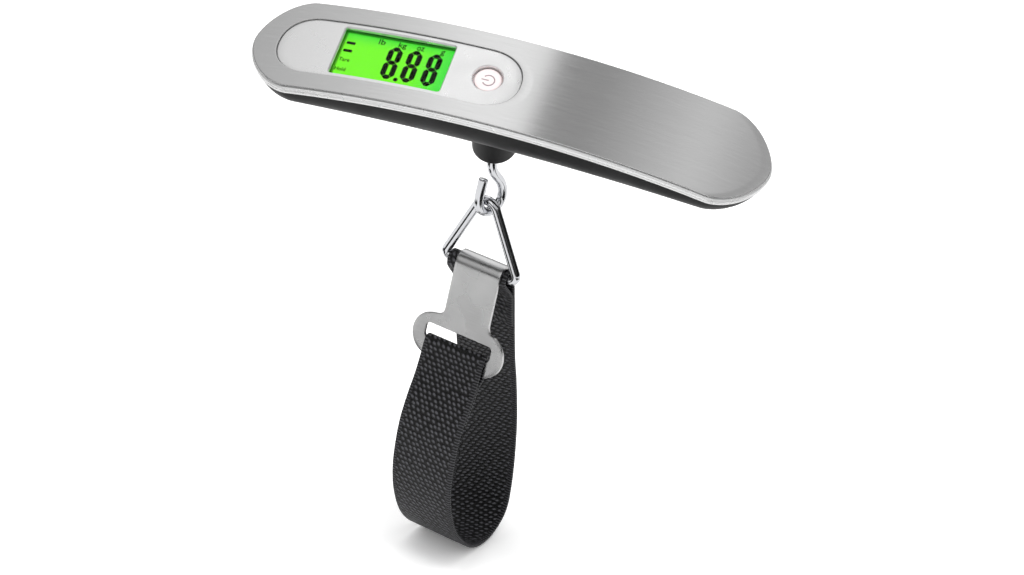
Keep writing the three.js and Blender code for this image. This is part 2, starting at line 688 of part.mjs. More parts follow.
function lowerCase() {
  const outside = caseBowl(0, caseTop);
  const inside = caseBowl(CASE_WALL, caseTop + OVERCUT);
  const hubTop = -caseDepth(0) + caseTop + HUB_REACH;
  const roundPart = EASE_MIDDLE * HUB_ROUND;
  const hub = turned([
    [0, -HUB_END], [HUB_R - HUB_ROUND, -HUB_END], [HUB_R - roundPart, -HUB_END + roundPart],
    [HUB_R, -HUB_END + HUB_ROUND], [HUB_R, hubTop - HUB_NECK], [HUB_R + HUB_FLARE, hubTop - HUB_SHOULDER],
    [HUB_ROOT_R, hubTop - HUB_ROOT_H], [HUB_ROOT_R, hubTop], [0, hubTop],
  ], hubFrame, FINE_SIDES);
  const bore = rod(hubFrame, 0, 0, -HUB_END - OVERCUT, hubTop + OVERCUT, hubBore, FINE_SIDES);
  const lipOutline = grown(RIM, -RIM_WALL - CLEAR);
  const lip = cut(slab(lipOutline, caseTop - LIP_ROOT, caseTop + LIP_H),
    slab(grown(lipOutline, -LIP_T), caseTop - LIP_ROOT - OVERCUT, caseTop + LIP_H + OVERCUT));
  const lipNotches = CASE_SCREWS.map(([s, y]) => (
    rod(archFrame(s), 0, y, caseTop, caseTop + LIP_H + OVERCUT, CASE_BOSS_R + CLEAR, POST_SIDES)));
  const seatR = CASE_BOSS_R + EMBED;
  const seats = CASE_SCREWS.map(([s, y]) => (
    rod(archFrame(s), 0, y, caseTop - THROUGH, caseTop - CLEAR, seatR, POST_SIDES).intersect(outside)));
  const beamPosts = BEAM_SCREW_X.map((x) => (
    rod(WHOLE, x, 0, -THROUGH, -BEAM_TOP - BEAM_T - CLEAR, BEAM_POST_R).intersect(outside)));
  const shell = join(cut(outside, inside), ...seats, ...beamPosts);
  const withHub = join(shell, hub, cut(lip, ...lipNotches));
  const bores = CASE_SCREWS.flatMap(([s, y]) => [
    rod(archFrame(s), 0, y, caseTop - THROUGH, caseTop + OVERCUT, CASE_SCREW_R + CLEAR, POST_SIDES),
    rod(archFrame(s), 0, y, caseTop - THROUGH, caseTop - CASE_SCREW_SEAT, CASE_SCREW_HEAD_R + CLEAR, SMALL_SIDES),
  ]);
  const pilots = BEAM_SCREW_X.map((x) => (
    rod(WHOLE, x, 0, -BEAM_TOP - BEAM_T - BEAM_PILOT_REACH, 0, BEAM_SCREW_R + CLEAR, POST_SIDES)));
  const doorway = doorBox(CLEAR);
  return cut(withHub, bore, ...bores, ...pilots, doorway);
}

// Upright box through the case's underside, as large as the battery door and a gap round it.
function doorBox(gap) {
  const middle = -DOORWAY_ROOF - THROUGH / 2;
  return boxAt(doorFrame, 0, 0, middle, DOOR_L + 2 * gap, DOOR_W + 2 * gap, THROUGH);
}

function batteryDoor(cellLow) {
  const wall = cut(caseBowl(0, caseTop), caseBowl(CASE_WALL, caseTop + OVERCUT));
  const panel = wall.intersect(doorBox(0));
  const floor = caseTop - caseDepth(DOOR_S / CASE.a) + CASE_WALL;
  const ribTop = cellLow - CLEAR;
  const ribLow = floor - CASE_WALL / 2;
  const ribL = DOOR_L * DOOR_RIB_SHARE;
  const ribs = [-1, 1].map((side) => (
    boxAt(doorFrame, 0, side * DOOR_RIB_GAP / 2, (ribLow + ribTop) / 2, ribL, DOOR_RIB_T, ribTop - ribLow)));
  return join(panel, ...ribs.map((rib) => rib.intersect(caseBowl(DOOR_RIB_INSET, caseTop))));
}

function caseScrews() {
  CASE_SCREWS.forEach(([s, y], i) => {
    const frame = archFrame(s);
    const seat = caseTop - CASE_SCREW_SEAT - CLEAR;
    const head = rod(frame, 0, y, seat - CASE_SCREW_HEAD_T, seat, CASE_SCREW_HEAD_R, ROUND_SIDES);
    const shank = rod(frame, 0, y, seat - EMBED, deckLow - 2 * CLEAR, CASE_SCREW_R, POST_SIDES);
    const recess = boxAt(frame, 0, y, seat - CASE_SCREW_HEAD_T, CROSS_L, CROSS_W, CROSS_H);
    const across = boxAt(frame, 0, y, seat - CASE_SCREW_HEAD_T, CROSS_W, CROSS_L, CROSS_H);
    addMesh(grip, `case_screw_${i + 1}`, 'zincSteel', cut(join(head, shank), recess, across));
  });
}

function loadCell() {
  const shape = new THREE.Shape();
  shape.moveTo(BEAM_START, 0);
  shape.lineTo(BEAM_END, 0);
  shape.lineTo(BEAM_END, BEAM_T);
  shape.lineTo(BEAM_START, BEAM_T);
  const geometry = new THREE.ExtrudeGeometry(shape, { depth: BEAM_W, bevelEnabled: false });
  geometry.rotateX(Math.PI / 2);
  geometry.translate(0, BEAM_W / 2, -BEAM_TOP - BEAM_T);
  const middle = -BEAM_TOP - BEAM_T / 2;
  const across = (x, r) => {
    const hole = new THREE.CylinderGeometry(r, r, BEAM_W + 2 * OVERCUT, ROUND_SIDES);
    hole.translate(x, 0, middle);
    return solid(hole);
  };
  const slot = boxAt(WHOLE, (BEAM_HOLE_X[0] + BEAM_HOLE_X[1]) / 2, 0, middle,
    BEAM_HOLE_X[1] - BEAM_HOLE_X[0], BEAM_W + 2 * OVERCUT, BEAM_SLOT_H);
  const stemHole = rod(hubFrame, 0, 0, -THROUGH, 0, STEM_R + CLEAR);
  const screwHoles = BEAM_SCREW_X.map((x) => rod(WHOLE, x, 0, -THROUGH, 0, BEAM_SCREW_R + CLEAR, SMALL_SIDES));
  const holes = BEAM_HOLE_X.map((x) => across(x, BEAM_HOLE_R));
  addMesh(grip, 'load_cell_beam', 'aluminium', cut(solid(geometry), ...holes, slot, stemHole, ...screwHoles));
  const gaugeX = (BEAM_HOLE_X[0] + BEAM_HOLE_X[1]) / 2;
  const gaugeLow = -BEAM_TOP + CLEAR;
  addMesh(grip, 'strain_gauge', 'foil',
    boxAt(WHOLE, gaugeX, 0, gaugeLow + GAUGE_T / 2, GAUGE_L, GAUGE_W, GAUGE_T));
  BEAM_SCREW_X.forEach((x, i) => {
    const seat = -BEAM_TOP + CLEAR;
    const head = rod(WHOLE, x, 0, seat, seat + BEAM_SCREW_HEAD_T, BEAM_SCREW_HEAD_R, ROUND_SIDES);
    const low = -BEAM_TOP - BEAM_T - BEAM_SCREW_REACH;
    const shank = rod(WHOLE, x, 0, low, seat + EMBED, BEAM_SCREW_R, POST_SIDES);
    addMesh(grip, `load_cell_screw_${i + 1}`, 'zincSteel', join(head, shank));
  });
  const leadLow = gaugeLow + GAUGE_T + CLEAR + LEAD_T / 2;
  const boardEnd = new THREE.Vector3(BOARD_SHIFT + BOARD_L / 2 + CLEAR, 0, (boardTop + boardLow) / 2)
    .applyMatrix4(windowFrame);
  const route = new THREE.CatmullRomCurve3([
    ...LEAD_ROUTE.map(([dx, dz]) => new THREE.Vector3(gaugeX + dx, 0, leadLow + dz)),
    new THREE.Vector3(boardEnd.x + LEAD_LAST[0], 0, boardEnd.z + LEAD_LAST[1]),
    boardEnd,
  ]);
  const ribbon = new THREE.Shape();
  ribbon.moveTo(-LEAD_W / 2, -LEAD_T / 2);
  ribbon.lineTo(LEAD_W / 2, -LEAD_T / 2);
  ribbon.lineTo(LEAD_W / 2, LEAD_T / 2);
  ribbon.lineTo(-LEAD_W / 2, LEAD_T / 2);
  const lead = new THREE.ExtrudeGeometry(ribbon, { steps: LEAD_STEPS, bevelEnabled: false, extrudePath: route });
  addMesh(grip, 'load_cell_lead', 'darkRubber', solid(lead));
}

function swivel() {
  const low = -HUB_END + YOKE_RECESS;
  const shoulder = low + YOKE_H;
  const clipLow = -BEAM_TOP + CLEAR;
  const grooveLow = clipLow - CLEAR / 2;
  const grooveTop = clipLow + CLIP_T + CLEAR;
  const stemTop = grooveTop + CLEAR + STEM_TIP;
  const body = turned([
    [0, low], [YOKE_R - YOKE_EDGE, low], [YOKE_R, low + YOKE_EDGE], [YOKE_R, shoulder - YOKE_EDGE],
    [YOKE_R - YOKE_EDGE, shoulder], [STEM_R, shoulder], [STEM_R, grooveLow], [CLIP_GROOVE_R, grooveLow],
    [CLIP_GROOVE_R, grooveTop], [STEM_R, grooveTop], [STEM_R, stemTop], [0, stemTop],
  ], hubFrame, ROUND_SIDES);
  const slotTop = -pinDepth + HOOK_EYE_R + EYE_GAP;
  const slotLow = low - OVERCUT;
  const slot = boxAt(hubFrame, 0, 0, (slotTop + slotLow) / 2, YOKE_SLOT, THROUGH, slotTop - slotLow);
  const pinHole = crossRod(THROUGH, PIN_R + CLEAR / 2, ROUND_SIDES);
  addMesh(grip, 'swivel_yoke', 'zincSteel', cut(body, slot, pinHole));
  addMesh(grip, 'hook_pin', 'zincSteel', crossRod(2 * (YOKE_R - PIN_INSET), PIN_R, ROUND_SIDES));
  const ring = rod(hubFrame, 0, 0, clipLow, clipLow + CLIP_T, CLIP_R, FINE_SIDES);
  const eye = rod(hubFrame, 0, 0, clipLow - OVERCUT, clipLow + CLIP_T + OVERCUT, CLIP_GROOVE_R + CLEAR);
  const mouth = boxAt(hubFrame, 0, CLIP_R, clipLow, CLIP_MOUTH, 2 * CLIP_R, THROUGH);
  addMesh(grip, 'stem_clip', 'zincSteel', cut(ring, eye, mouth));
}

// Cylinder along the pin's axis, in the grip's frame.
function crossRod(length, radius, sides) {
  const geometry = new THREE.CylinderGeometry(radius, radius, length, sides);
  geometry.rotateZ(Math.PI / 2);
  geometry.translate(hubX, 0, -pinDepth);
  return solid(geometry);
}

// Centre of the hook's pin in the part's own frame, and the chain that hangs plumb under it.
const pinCentre = new THREE.Vector3(hubX, 0, GRIP_DEPTH - pinDepth).applyEuler(grip.rotation);
const ringApexDrop = HOOK_DROP - 2 * WIRE_R - RING_LIFT;
const barDrop = ringApexDrop + RING_HEIGHT;

const hookGroup = new THREE.Group();
hookGroup.position.copy(pinCentre);
scale.add(hookGroup);

const chain = new THREE.Group();
chain.position.copy(pinCentre).add(new THREE.Vector3(0, 0, -barDrop));
chain.rotation.z = rad(-CHAIN_TURN);
scale.add(chain);

function circleShape(radius, sides) {
  const shape = new THREE.Shape();
  for (let i = 0; i < sides; i += 1) {
    const t = 2 * Math.PI * i / sides;
    shape[i === 0 ? 'moveTo' : 'lineTo'](radius * Math.cos(t), radius * Math.sin(t));
  }
  return shape;
}

// The hook: an eye round the pin, a neck, a swept spine, a round bowl and an upright free end.
function hook() {
  const along = new THREE.Vector3(-Math.sin(rad(HOOK_TURN)), -Math.cos(rad(HOOK_TURN)), 0);
  const at = (a, z) => new THREE.Vector3(along.x * a, along.y * a, z);
  const centreZ = -HOOK_DROP + HOOK_BOWL_R;
  const spine = HOOK_BOWL_SHIFT - HOOK_BOWL_R;
  const path = new THREE.CurvePath();
  path.add(new THREE.LineCurve3(at(0, -HOOK_START), at(0, -HOOK_NECK)));
  const bend = (centreZ + HOOK_NECK) * HOOK_BEND;
  path.add(new THREE.CubicBezierCurve3(
    at(0, -HOOK_NECK), at(0, -HOOK_NECK + bend), at(spine, centreZ - bend), at(spine, centreZ)));
  const arc = [];
  for (let i = 0; i <= HOOK_ARC_STEPS; i += 1) {
    const t = Math.PI * (1 + i / HOOK_ARC_STEPS);
    arc.push(at(HOOK_BOWL_SHIFT + HOOK_BOWL_R * Math.cos(t), centreZ + HOOK_BOWL_R * Math.sin(t)));
  }
  path.add(new THREE.CatmullRomCurve3(arc));
  path.add(new THREE.LineCurve3(arc[HOOK_ARC_STEPS], at(spine + 2 * HOOK_BOWL_R, centreZ + HOOK_TIP_H)));
  const wire = new THREE.ExtrudeGeometry(circleShape(WIRE_R, WIRE_SIDES), {
    steps: HOOK_STEPS, bevelEnabled: false, extrudePath: path,
  });
  const alongPin = (radius, length) => {
    const geometry = new THREE.CylinderGeometry(radius, radius, length, ROUND_SIDES);
    geometry.rotateZ(Math.PI / 2);
    geometry.rotateY(rad(GRIP_SLOPE));
    return solid(geometry);
  };
  return cut(join(solid(wire), alongPin(HOOK_EYE_R, HOOK_EYE_T)), alongPin(PIN_R + CLEAR, THROUGH));
}

// The ring's centre line: a triangle over its bar, with rounded corners, in x and z from the bar's middle.
function ringLine() {
  const slopeHalf = (height) => Math.atan2(RING_HALF_BAR, height);
  let height = RING_HEIGHT + RING_APEX_ROUND;
  for (let i = 0; i < RING_APEX_STEPS; i += 1) {
    height = RING_HEIGHT + RING_APEX_ROUND * (1 / Math.sin(slopeHalf(height)) - 1);
  }
  const half = slopeHalf(height);
  const corner = Math.PI / 2 - half;
  const points = [];
  const arc = (cx, cz, radius, from, to, steps) => {
    for (let i = 0; i <= steps; i += 1) {
      const t = from + (to - from) * i / steps;
      points.push(new THREE.Vector2(cx + radius * Math.cos(t), cz + radius * Math.sin(t)));
    }
  };
  const inset = RING_CORNER_ROUND / Math.tan(corner / 2);
  const cornerX = RING_HALF_BAR - inset;
  arc(cornerX, RING_CORNER_ROUND, RING_CORNER_ROUND, -Math.PI / 2, half, RING_CORNER_STEPS);
  arc(0, RING_HEIGHT - RING_APEX_ROUND, RING_APEX_ROUND, half, Math.PI - half, RING_APEX_STEPS);
  arc(-cornerX, RING_CORNER_ROUND, RING_CORNER_ROUND, Math.PI - half, Math.PI * 1.5, RING_CORNER_STEPS);
  return points;
}

// Round wire along a closed flat line in x and z.
function closedWire(line, radius, sides) {
  const positions = [];
  const index = [];
  const count = line.length;
  line.forEach((point, i) => {
    const before = line[(i + count - 1) % count];
    const after = line[(i + 1) % count];
    const inDir = point.clone().sub(before).normalize();
    const outDir = after.clone().sub(point).normalize();
    const tangent = inDir.clone().add(outDir).normalize();
    const miter = 1 / tangent.dot(outDir);
    for (let k = 0; k < sides; k += 1) {
      const t = 2 * Math.PI * k / sides;
      const out = radius * Math.cos(t) * miter;
      positions.push(point.x + tangent.y * out, radius * Math.sin(t), point.y - tangent.x * out);
    }
  });
  for (let i = 0; i < count; i += 1) {
    for (let k = 0; k < sides; k += 1) {
      const a = i * sides + k;
      const b = i * sides + (k + 1) % sides;
      const c = ((i + 1) % count) * sides + k;
      const d = ((i + 1) % count) * sides + (k + 1) % sides;
      index.push(a, b, c, b, d, c);
    }
  }
  const geometry = new THREE.BufferGeometry();
  geometry.setAttribute('position', new THREE.Float32BufferAttribute(positions, 3));
  geometry.setIndex(index);
  return solid(geometry);
}

// Extrudes a shape drawn in w (forward) and z along the chain's x, centred.
function across(shape, width) {
  const geometry = new THREE.ExtrudeGeometry(shape, {
    depth: width, bevelEnabled: false, curveSegments: CURVE_STEPS,
  });
  const basis = new THREE.Matrix4().makeBasis(
    new THREE.Vector3(0, -1, 0), new THREE.Vector3(0, 0, 1), new THREE.Vector3(-1, 0, 0));
  geometry.applyMatrix4(basis.setPosition(width / 2, 0, 0));
  return solid(geometry);
}

// Band of constant thickness along a line of points in w and z.
function band(line, thickness, width) {
  const left = [];
  const right = [];
  line.forEach((point, i) => {
    const before = line[Math.max(i - 1, 0)];
    const after = line[Math.min(i + 1, line.length - 1)];
    const tangent = after.clone().sub(before).normalize();
    const normal = new THREE.Vector2(-tangent.y, tangent.x).multiplyScalar(thickness / 2);
    left.push(point.clone().add(normal));
    right.push(point.clone().sub(normal));
  });
  return across(new THREE.Shape([...left, ...right.reverse()]), width);
}

const FULL_TURN = 360;
const wrapR = WIRE_R + CLEAR + STRAP_T / 2;
const lipInner = WIRE_R + STRAP_T + 2 * CLEAR;
const lipOuter = lipInner + BUCKLE_T;
const platePlane = (lipInner + lipOuter) / 2;

// A point of the buckle's plate: distance down from the bar and forward of the plate's middle, in w and z.
function onBuckle(down, forward) {
  const lean = rad(BUCKLE_LEAN);
  const w = platePlane + forward;
  return new THREE.Vector2(w * Math.cos(lean) + down * Math.sin(lean),
    w * Math.sin(lean) - down * Math.cos(lean));
}

function arcLine(centre, radius, from, to, steps) {
  const points = [];
  for (let i = 0; i <= steps; i += 1) {
    const t = rad(from + (to - from) * i / steps);
    points.push(new THREE.Vector2(centre.x + radius * Math.cos(t), centre.y + radius * Math.sin(t)));
  }
  return points;
}

// The webbing: wrapped round the ring's bar, down the rear, round the loop, up the front and over the
// buckle's lower bar. Both ends are doubled back and sewn.
function strap() {
  const loopCentre = new THREE.Vector2(LOOP_FORWARD, -LOOP_DROP);
  const bar = new THREE.Vector2(0, 0);
  const foldDown = SLOT_TOP + SLOT_H;
  const foldR = BUCKLE_T / 2 + CLEAR + STRAP_T / 2;
  const foldCentre = onBuckle(foldDown + FOLD_DROP, 0);
  const rearAngle = tangentAngle(bar, wrapR, loopCentre, LOOP_RADIUS, 1);
  const frontAngle = tangentAngle(foldCentre, foldR, loopCentre, LOOP_RADIUS, -1);
  const wrap = arcLine(bar, wrapR, 0, rearAngle, WRAP_STEPS);
  const loop = arcLine(loopCentre, LOOP_RADIUS, rearAngle, frontAngle + FULL_TURN, LOOP_STEPS);
  const fold = arcLine(foldCentre, foldR, frontAngle, FULL_TURN / 2 - BUCKLE_LEAN, FOLD_STEPS);
  const main = band([...wrap, ...loop, ...fold], STRAP_T, STRAP_W);
  const rearTop = wrap[WRAP_STEPS];
  const rearDir = loop[0].clone().sub(rearTop).normalize();
  const rearIn = new THREE.Vector2(-rearDir.y, rearDir.x).multiplyScalar(DOUBLING);
  const rearFlap = band([
    ...REAR_START.map((z) => new THREE.Vector2(wrapR, z)),
    ...[...REAR_BENDS, REAR_FLAP].map((down) => rearTop.clone().addScaledVector(rearDir, down).add(rearIn)),
  ], STRAP_T, STRAP_W);
  const frontDir = loop[LOOP_STEPS].clone().sub(fold[0]).normalize();
  const frontIn = new THREE.Vector2(frontDir.y, -frontDir.x).multiplyScalar(DOUBLING);
  const barEnd = LOBE_DROP + LOBE_HALF_H - foldDown;
  const frontFlap = band([
    onBuckle(foldDown + FRONT_START, -foldR), onBuckle(foldDown + barEnd, -foldR - FRONT_START),
    ...[...FRONT_BENDS, FRONT_BENDS[0] + FRONT_FLAP].map((down) => (
      fold[0].clone().addScaledVector(frontDir, barEnd + down).add(frontIn))),
  ], STRAP_T, STRAP_W);
  const notchX = (STRAP_NECK_W + STRAP_W) / 2;
  const notch = (sign) => boxAt(WHOLE, sign * notchX, 0, (NECK_TOP + NECK_LOW) / 2,
    STRAP_W, LOOP_RADIUS, NECK_TOP - NECK_LOW);
  return cut(join(main, rearFlap, frontFlap), notch(-1), notch(1));
}

// Angle, in degrees, at which the outer tangent touches two circles. side is 1 at the rear, -1 at the front.
function tangentAngle(near, nearR, far, farR, side) {
  const dx = far.x - near.x;
  const dz = far.y - near.y;
  const towards = Math.atan2(dz, dx);
  const lean = Math.acos((nearR - farR) / Math.hypot(dx, dz));
  const angle = THREE.MathUtils.radToDeg(towards - side * lean);
  return side > 0 ? (angle + FULL_TURN) % FULL_TURN : angle;
}

// The buckle: a flat plate with a stem, two round lobes and a slot, and a lip bent back over the bar.
function buckle() {
  const shape = new THREE.Shape();
  const lobeX = LOBE_HALF_L - LOBE_HALF_H;
  const low = -LOBE_DROP - LOBE_HALF_H;
  const filletX = STEM_HALF + SHOULDER_ROUND;
  const rise = Math.sqrt((LOBE_HALF_H + SHOULDER_ROUND) ** 2 - (filletX - lobeX) ** 2);
  const filletZ = -LOBE_DROP + rise;
  const meet = Math.atan2(rise, filletX - lobeX);
  shape.moveTo(-STEM_HALF, 0);
  shape.lineTo(-STEM_HALF, filletZ);
  shape.absarc(-filletX, filletZ, SHOULDER_ROUND, 0, -meet, true);
  shape.absarc(-lobeX, -LOBE_DROP, LOBE_HALF_H, Math.PI - meet, Math.PI * 1.5, false);
  shape.lineTo(lobeX, low);
  shape.absarc(lobeX, -LOBE_DROP, LOBE_HALF_H, -Math.PI / 2, meet, false);
  shape.absarc(filletX, filletZ, SHOULDER_ROUND, Math.PI + meet, Math.PI, true);
  shape.lineTo(STEM_HALF, 0);
  const plate = new THREE.ExtrudeGeometry(shape, {
    depth: BUCKLE_T, bevelEnabled: false, curveSegments: CURVE_STEPS,
  });
  plate.rotateX(Math.PI / 2);
  plate.translate(0, -lipInner, 0);
  const slot = boxAt(WHOLE, 0, -platePlane, -SLOT_TOP - SLOT_H / 2, 2 * SLOT_HALF, 4 * BUCKLE_T, SLOT_H);
  const lip = new THREE.Shape();
  const end = rad(LIP_SPAN);
  lip.absarc(0, 0, lipOuter, 0, end, false);
  lip.absarc(0, 0, lipInner, end, 0, true);
  return cut(join(solid(plate), across(lip, 2 * STEM_HALF)), slot);
}

addMesh(grip, 'top_plate', 'brushedSteel', topPlate());
addMesh(grip, 'rim_frame', 'silverPlastic', rimFrame());
addMesh(grip, 'display_bezel', 'panelSilver', displayBezel());
displayStack();
addMesh(grip, 'button_cap', 'buttonWhite', buttonCap());
addMesh(grip, 'tact_switch', 'blackPlastic', switchBody());
addMesh(grip, 'circuit_board', 'boardGreen', circuitBoard());
addMesh(grip, 'controller_chip', 'epoxy',
  boxAt(windowFrame, CHIP_X, 0, boardLow - CLEAR - CHIP_T / 2, CHIP_SIZE, CHIP_SIZE, CHIP_T));
boardScrews();
const cellLow = batteryGroup();
addMesh(grip, 'lower_case', 'blackPlastic', lowerCase());
addMesh(grip, 'battery_door', 'blackPlastic', batteryDoor(cellLow));
caseScrews();
loadCell();
swivel();
addMesh(hookGroup, 'hook', 'chrome', hook());
addMesh(chain, 'triangle_ring', 'chrome', closedWire(ringLine(), WIRE_R, WIRE_SIDES));
addMesh(chain, 'strap', 'webbing', strap());
addMesh(chain, 'buckle', 'buckleSteel', buckle()).rotation.x = rad(-BUCKLE_LEAN);

export default scale;
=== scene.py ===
"""Looks of a digital luggage scale: an arched grip with a display, a swivel hook, a ring, a buckle and webbing."""
import math

import bmesh
import bpy
import mathutils
import numpy as np
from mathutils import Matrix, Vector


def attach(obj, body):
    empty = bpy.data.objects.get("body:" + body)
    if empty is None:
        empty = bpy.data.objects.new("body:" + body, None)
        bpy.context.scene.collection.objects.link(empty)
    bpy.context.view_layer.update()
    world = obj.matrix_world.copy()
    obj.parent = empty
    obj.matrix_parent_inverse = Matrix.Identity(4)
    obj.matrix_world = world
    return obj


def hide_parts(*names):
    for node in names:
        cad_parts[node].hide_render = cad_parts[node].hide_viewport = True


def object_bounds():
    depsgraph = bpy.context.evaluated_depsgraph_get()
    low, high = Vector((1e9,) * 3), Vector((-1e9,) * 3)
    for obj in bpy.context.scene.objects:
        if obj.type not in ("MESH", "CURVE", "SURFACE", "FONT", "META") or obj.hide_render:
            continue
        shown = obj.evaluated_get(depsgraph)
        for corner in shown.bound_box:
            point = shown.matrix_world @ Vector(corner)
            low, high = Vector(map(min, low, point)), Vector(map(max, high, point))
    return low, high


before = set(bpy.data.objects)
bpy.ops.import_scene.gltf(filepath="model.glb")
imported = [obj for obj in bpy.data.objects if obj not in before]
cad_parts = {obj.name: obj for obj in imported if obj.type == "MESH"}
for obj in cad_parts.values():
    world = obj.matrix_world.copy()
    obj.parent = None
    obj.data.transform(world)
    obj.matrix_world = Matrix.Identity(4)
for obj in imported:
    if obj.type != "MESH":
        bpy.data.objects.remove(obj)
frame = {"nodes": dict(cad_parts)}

bl_info = {
    "name": "Luggage Scale",
    "version": (1, 0, 0),
    "blender": (4, 5, 0),
    "location": "View3D > Sidebar > Luggage Scale",
    "description": "Builds the surfaces and finishes of a digital luggage scale",
    "category": "Add Mesh",
}

CAD_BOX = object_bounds()
MM = 0.001

# How the grip is held and how its arch bends, in degrees and millimetres.
GRIP_SLOPE = 3.0
GRIP_LEAN = 29.3
GRIP_DEPTH = 10.0
ARCH_RADIUS = 278.0

# Outlines have straight sides and round ends: centre, half-length, half-width, length of an end and its power.
PLATE = (0.0, 79.0, 15.4, 15.2, 1.7)
PANEL = (-33.8, 37.2, 9.7, 11.4, 2.2)
RIM_OVERHANG = 0.8
RIM_LOW = -2.8
RIM_ROUND = 0.8
RIM_WALL = 1.6
DECK_T = 1.2
SCREW_POST_LOW = -4.6
PANEL_SINK = 0.45
PANEL_GAP = 0.16
PLATE_UNDERCUT = 0.7
GAP = 0.3

# Display window and button.
WINDOW_S = -35.5
WINDOW_L = 33.9
WINDOW_W = 16.5
WINDOW_DEPTH = 2.0
MARKS_LEFT, MARKS_UP = 0.8, 1.5
POCKET_MARGIN = 0.85
PANEL_BACK = -3.4
PANEL_LIP, PANEL_LIP_TOP = 0.9, -2.4
BOARD_POSTS = (22.5, 8.3)
LCD_TOP = -3.4
BUTTON_S = -6.4
BUTTON_HOLE_R = 4.45
BUTTON_SINK = 1.25
BUTTON_CROWN_R, BUTTON_CROWN = 3.5, 0.12
BUTTON_BACK = -4.62

# Display's marks: sizes in mm, and words with their place as shares across and down the window, height and width.
SEGMENT_T, SEGMENT_LEVEL_T, SEGMENT_GAP = 1.6, 1.5, 0.08
DIGITS = ((0.443, 0.570), (0.622, 0.749), (0.805, 0.931))
DIGIT_TOP, DIGIT_MIDDLE, DIGIT_LOW = 0.24, 0.58, 0.94
MARK_LOW, MARK_T = LCD_TOP + 0.03, 0.05
MARK_WORDS = (("lb", 0.358, 0.178, 1.9, 2.0), ("kg", 0.543, 0.190, 2.3, 2.4), ("oz", 0.706, 0.182, 1.45, 2.2),
              ("g", 0.906, 0.198, 1.9, 1.25), ("Tare", 0.092, 0.686, 1.25, 3.3), ("Hold", 0.089, 0.900, 1.25, 3.3))

# Lower case and hub.
CASE_TOP = -3.1
CASE_INSET = 0.3
CASE_TAPER = 2.2
CASE_ROUND = 2.6
CASE_WALL = 2.0
CASE_SCREWS = ((-75.0, -4.6), (-75.0, 4.6), (62.0, -9.0), (62.0, 9.0))
CASE_SCREW_SEAT = 4.7
CASE_SCREW_HEAD_R = 1.9
DOOR_S = -41.0
DOOR_L = 26.4
DOOR_W = 20.4
HUB_S = -4.4
HUB_END = 34.2
HUB_ROUND = 1.1
HUB_ROOT_R = 8.6
HUB_BORE_R = 5.6
PIN_DEPTH = 29.7

# Hook and ring, bent from the same round wire.
WIRE_R = 1.5
HOOK_TURN = 33.0
HOOK_EYE_R = 2.9
HOOK_EYE_T = 3.6
PIN_R = 1.0
HOOK_NECK = 7.4
HOOK_BOWL_R = 4.6
HOOK_BOWL_SHIFT = -1.0
HOOK_TIP_LEAN = 1.0
HOOK_SEAT_ROOM = 0.2
HOOK_DROP = 24.5
CHAIN_TURN = 18.7
RING_HALF_BAR = 13.5
RING_HEIGHT = 22.85
RING_LIFT = 0.6
RING_APEX_ROUND = 3.6
RING_CORNER_ROUND = 1.6

# Webbing loop and buckle.
STRAP_GAP = 0.1
LOOP_POINTS = ((-7.4, -28.0), (-10.4, -40.0), (-12.9, -52.0), (-14.1, -60.6), (-14.9, -72.0), (-14.8, -80.9),
               (-13.6, -88.2), (-10.0, -92.5), (-4.8, -94.9), (1.4, -94.7), (7.9, -91.3), (14.6, -84.1),
               (19.0, -74.8), (20.9, -66.0), (20.9, -57.7), (19.6, -49.2), (16.9, -41.8), (13.2, -34.2))
REAR_FLAP = 18.0
FRONT_FLAP = 12.0
NECK_START, NECK_RUN = -4.5, 4.0
FLOAT_WIDTH, FLOAT_PITCH, RIB_PITCH = 1.8, 1.5, 0.9
SELVEDGE = (9.1, 9.6)
STITCH_ROWS = (4.0, 6.5, 14.0, -4.0, -6.5)
STITCH_L, STITCH_R, STITCH_PITCH, STITCH_SPAN = 1.7, 0.2, 2.3, 9.2
STEM_SHIFT = 1.2
BUCKLE_LEAN = 12.0
STEM_HALF = 7.95
LOBE_HALF_L = 16.3
LOBE_HALF_H = 6.9
LOBE_DROP = 24.4
SHOULDER_ROUND = 2.6
SLOT_HALF = 12.0
SLOT_TOP = 21.0
SLOT_H = 5.0
LIP_SPAN = 164.0

# Surround as polished metal sees it: brightness over the direction, from the left (0) to the right (1).
CARD_BANDS = ((0.0, 0.05), (0.08, 0.08), (0.14, 0.58), (0.20, 0.64), (0.30, 0.86), (0.40, 1.22), (0.47, 1.26),
              (0.479, 0.36), (0.53, 0.40), (0.58, 0.60), (0.64, 0.88), (0.70, 0.50), (0.84, 0.55), (0.92, 0.06),
              (1.0, 0.04))

# Black cards on the floor beside the view: name, left, right, front and rear in metres.
BLACK_CARDS = (("left_card", -0.25, -0.095, -0.25, -0.065), ("right_card", 0.095, 0.40, -0.40, -0.065),
               ("left_side_card", -0.30, -0.178, -0.06, 0.03), ("right_side_card", 0.178, 0.30, -0.06, 0.03))

# Camera, from the photograph's perspective: elevation, roll and azimuth in degrees, focal length in pixels.
CAM_ELEVATION = 29.0
CAM_ROLL = 6.5
CAM_AZIMUTH = 12.0
CAM_FOCAL = 3187.5
CAM_PLACE = (178.87, -808.51, 398.66)
PICTURE_W = 1024
SENSOR = 36.0
FLOOR_GAP = 0.6
FLOOR_BEND = 0.05
CARD_RISE = 0.0005


def linear(code):
    """Linear colour of an sRGB hex code."""
    parts = [int(code[i:i + 2], 16) / 255 for i in (0, 2, 4)]
    return tuple(c / 12.92 if c <= 0.04045 else ((c + 0.055) / 1.055) ** 2.4 for c in parts) + (1.0,)


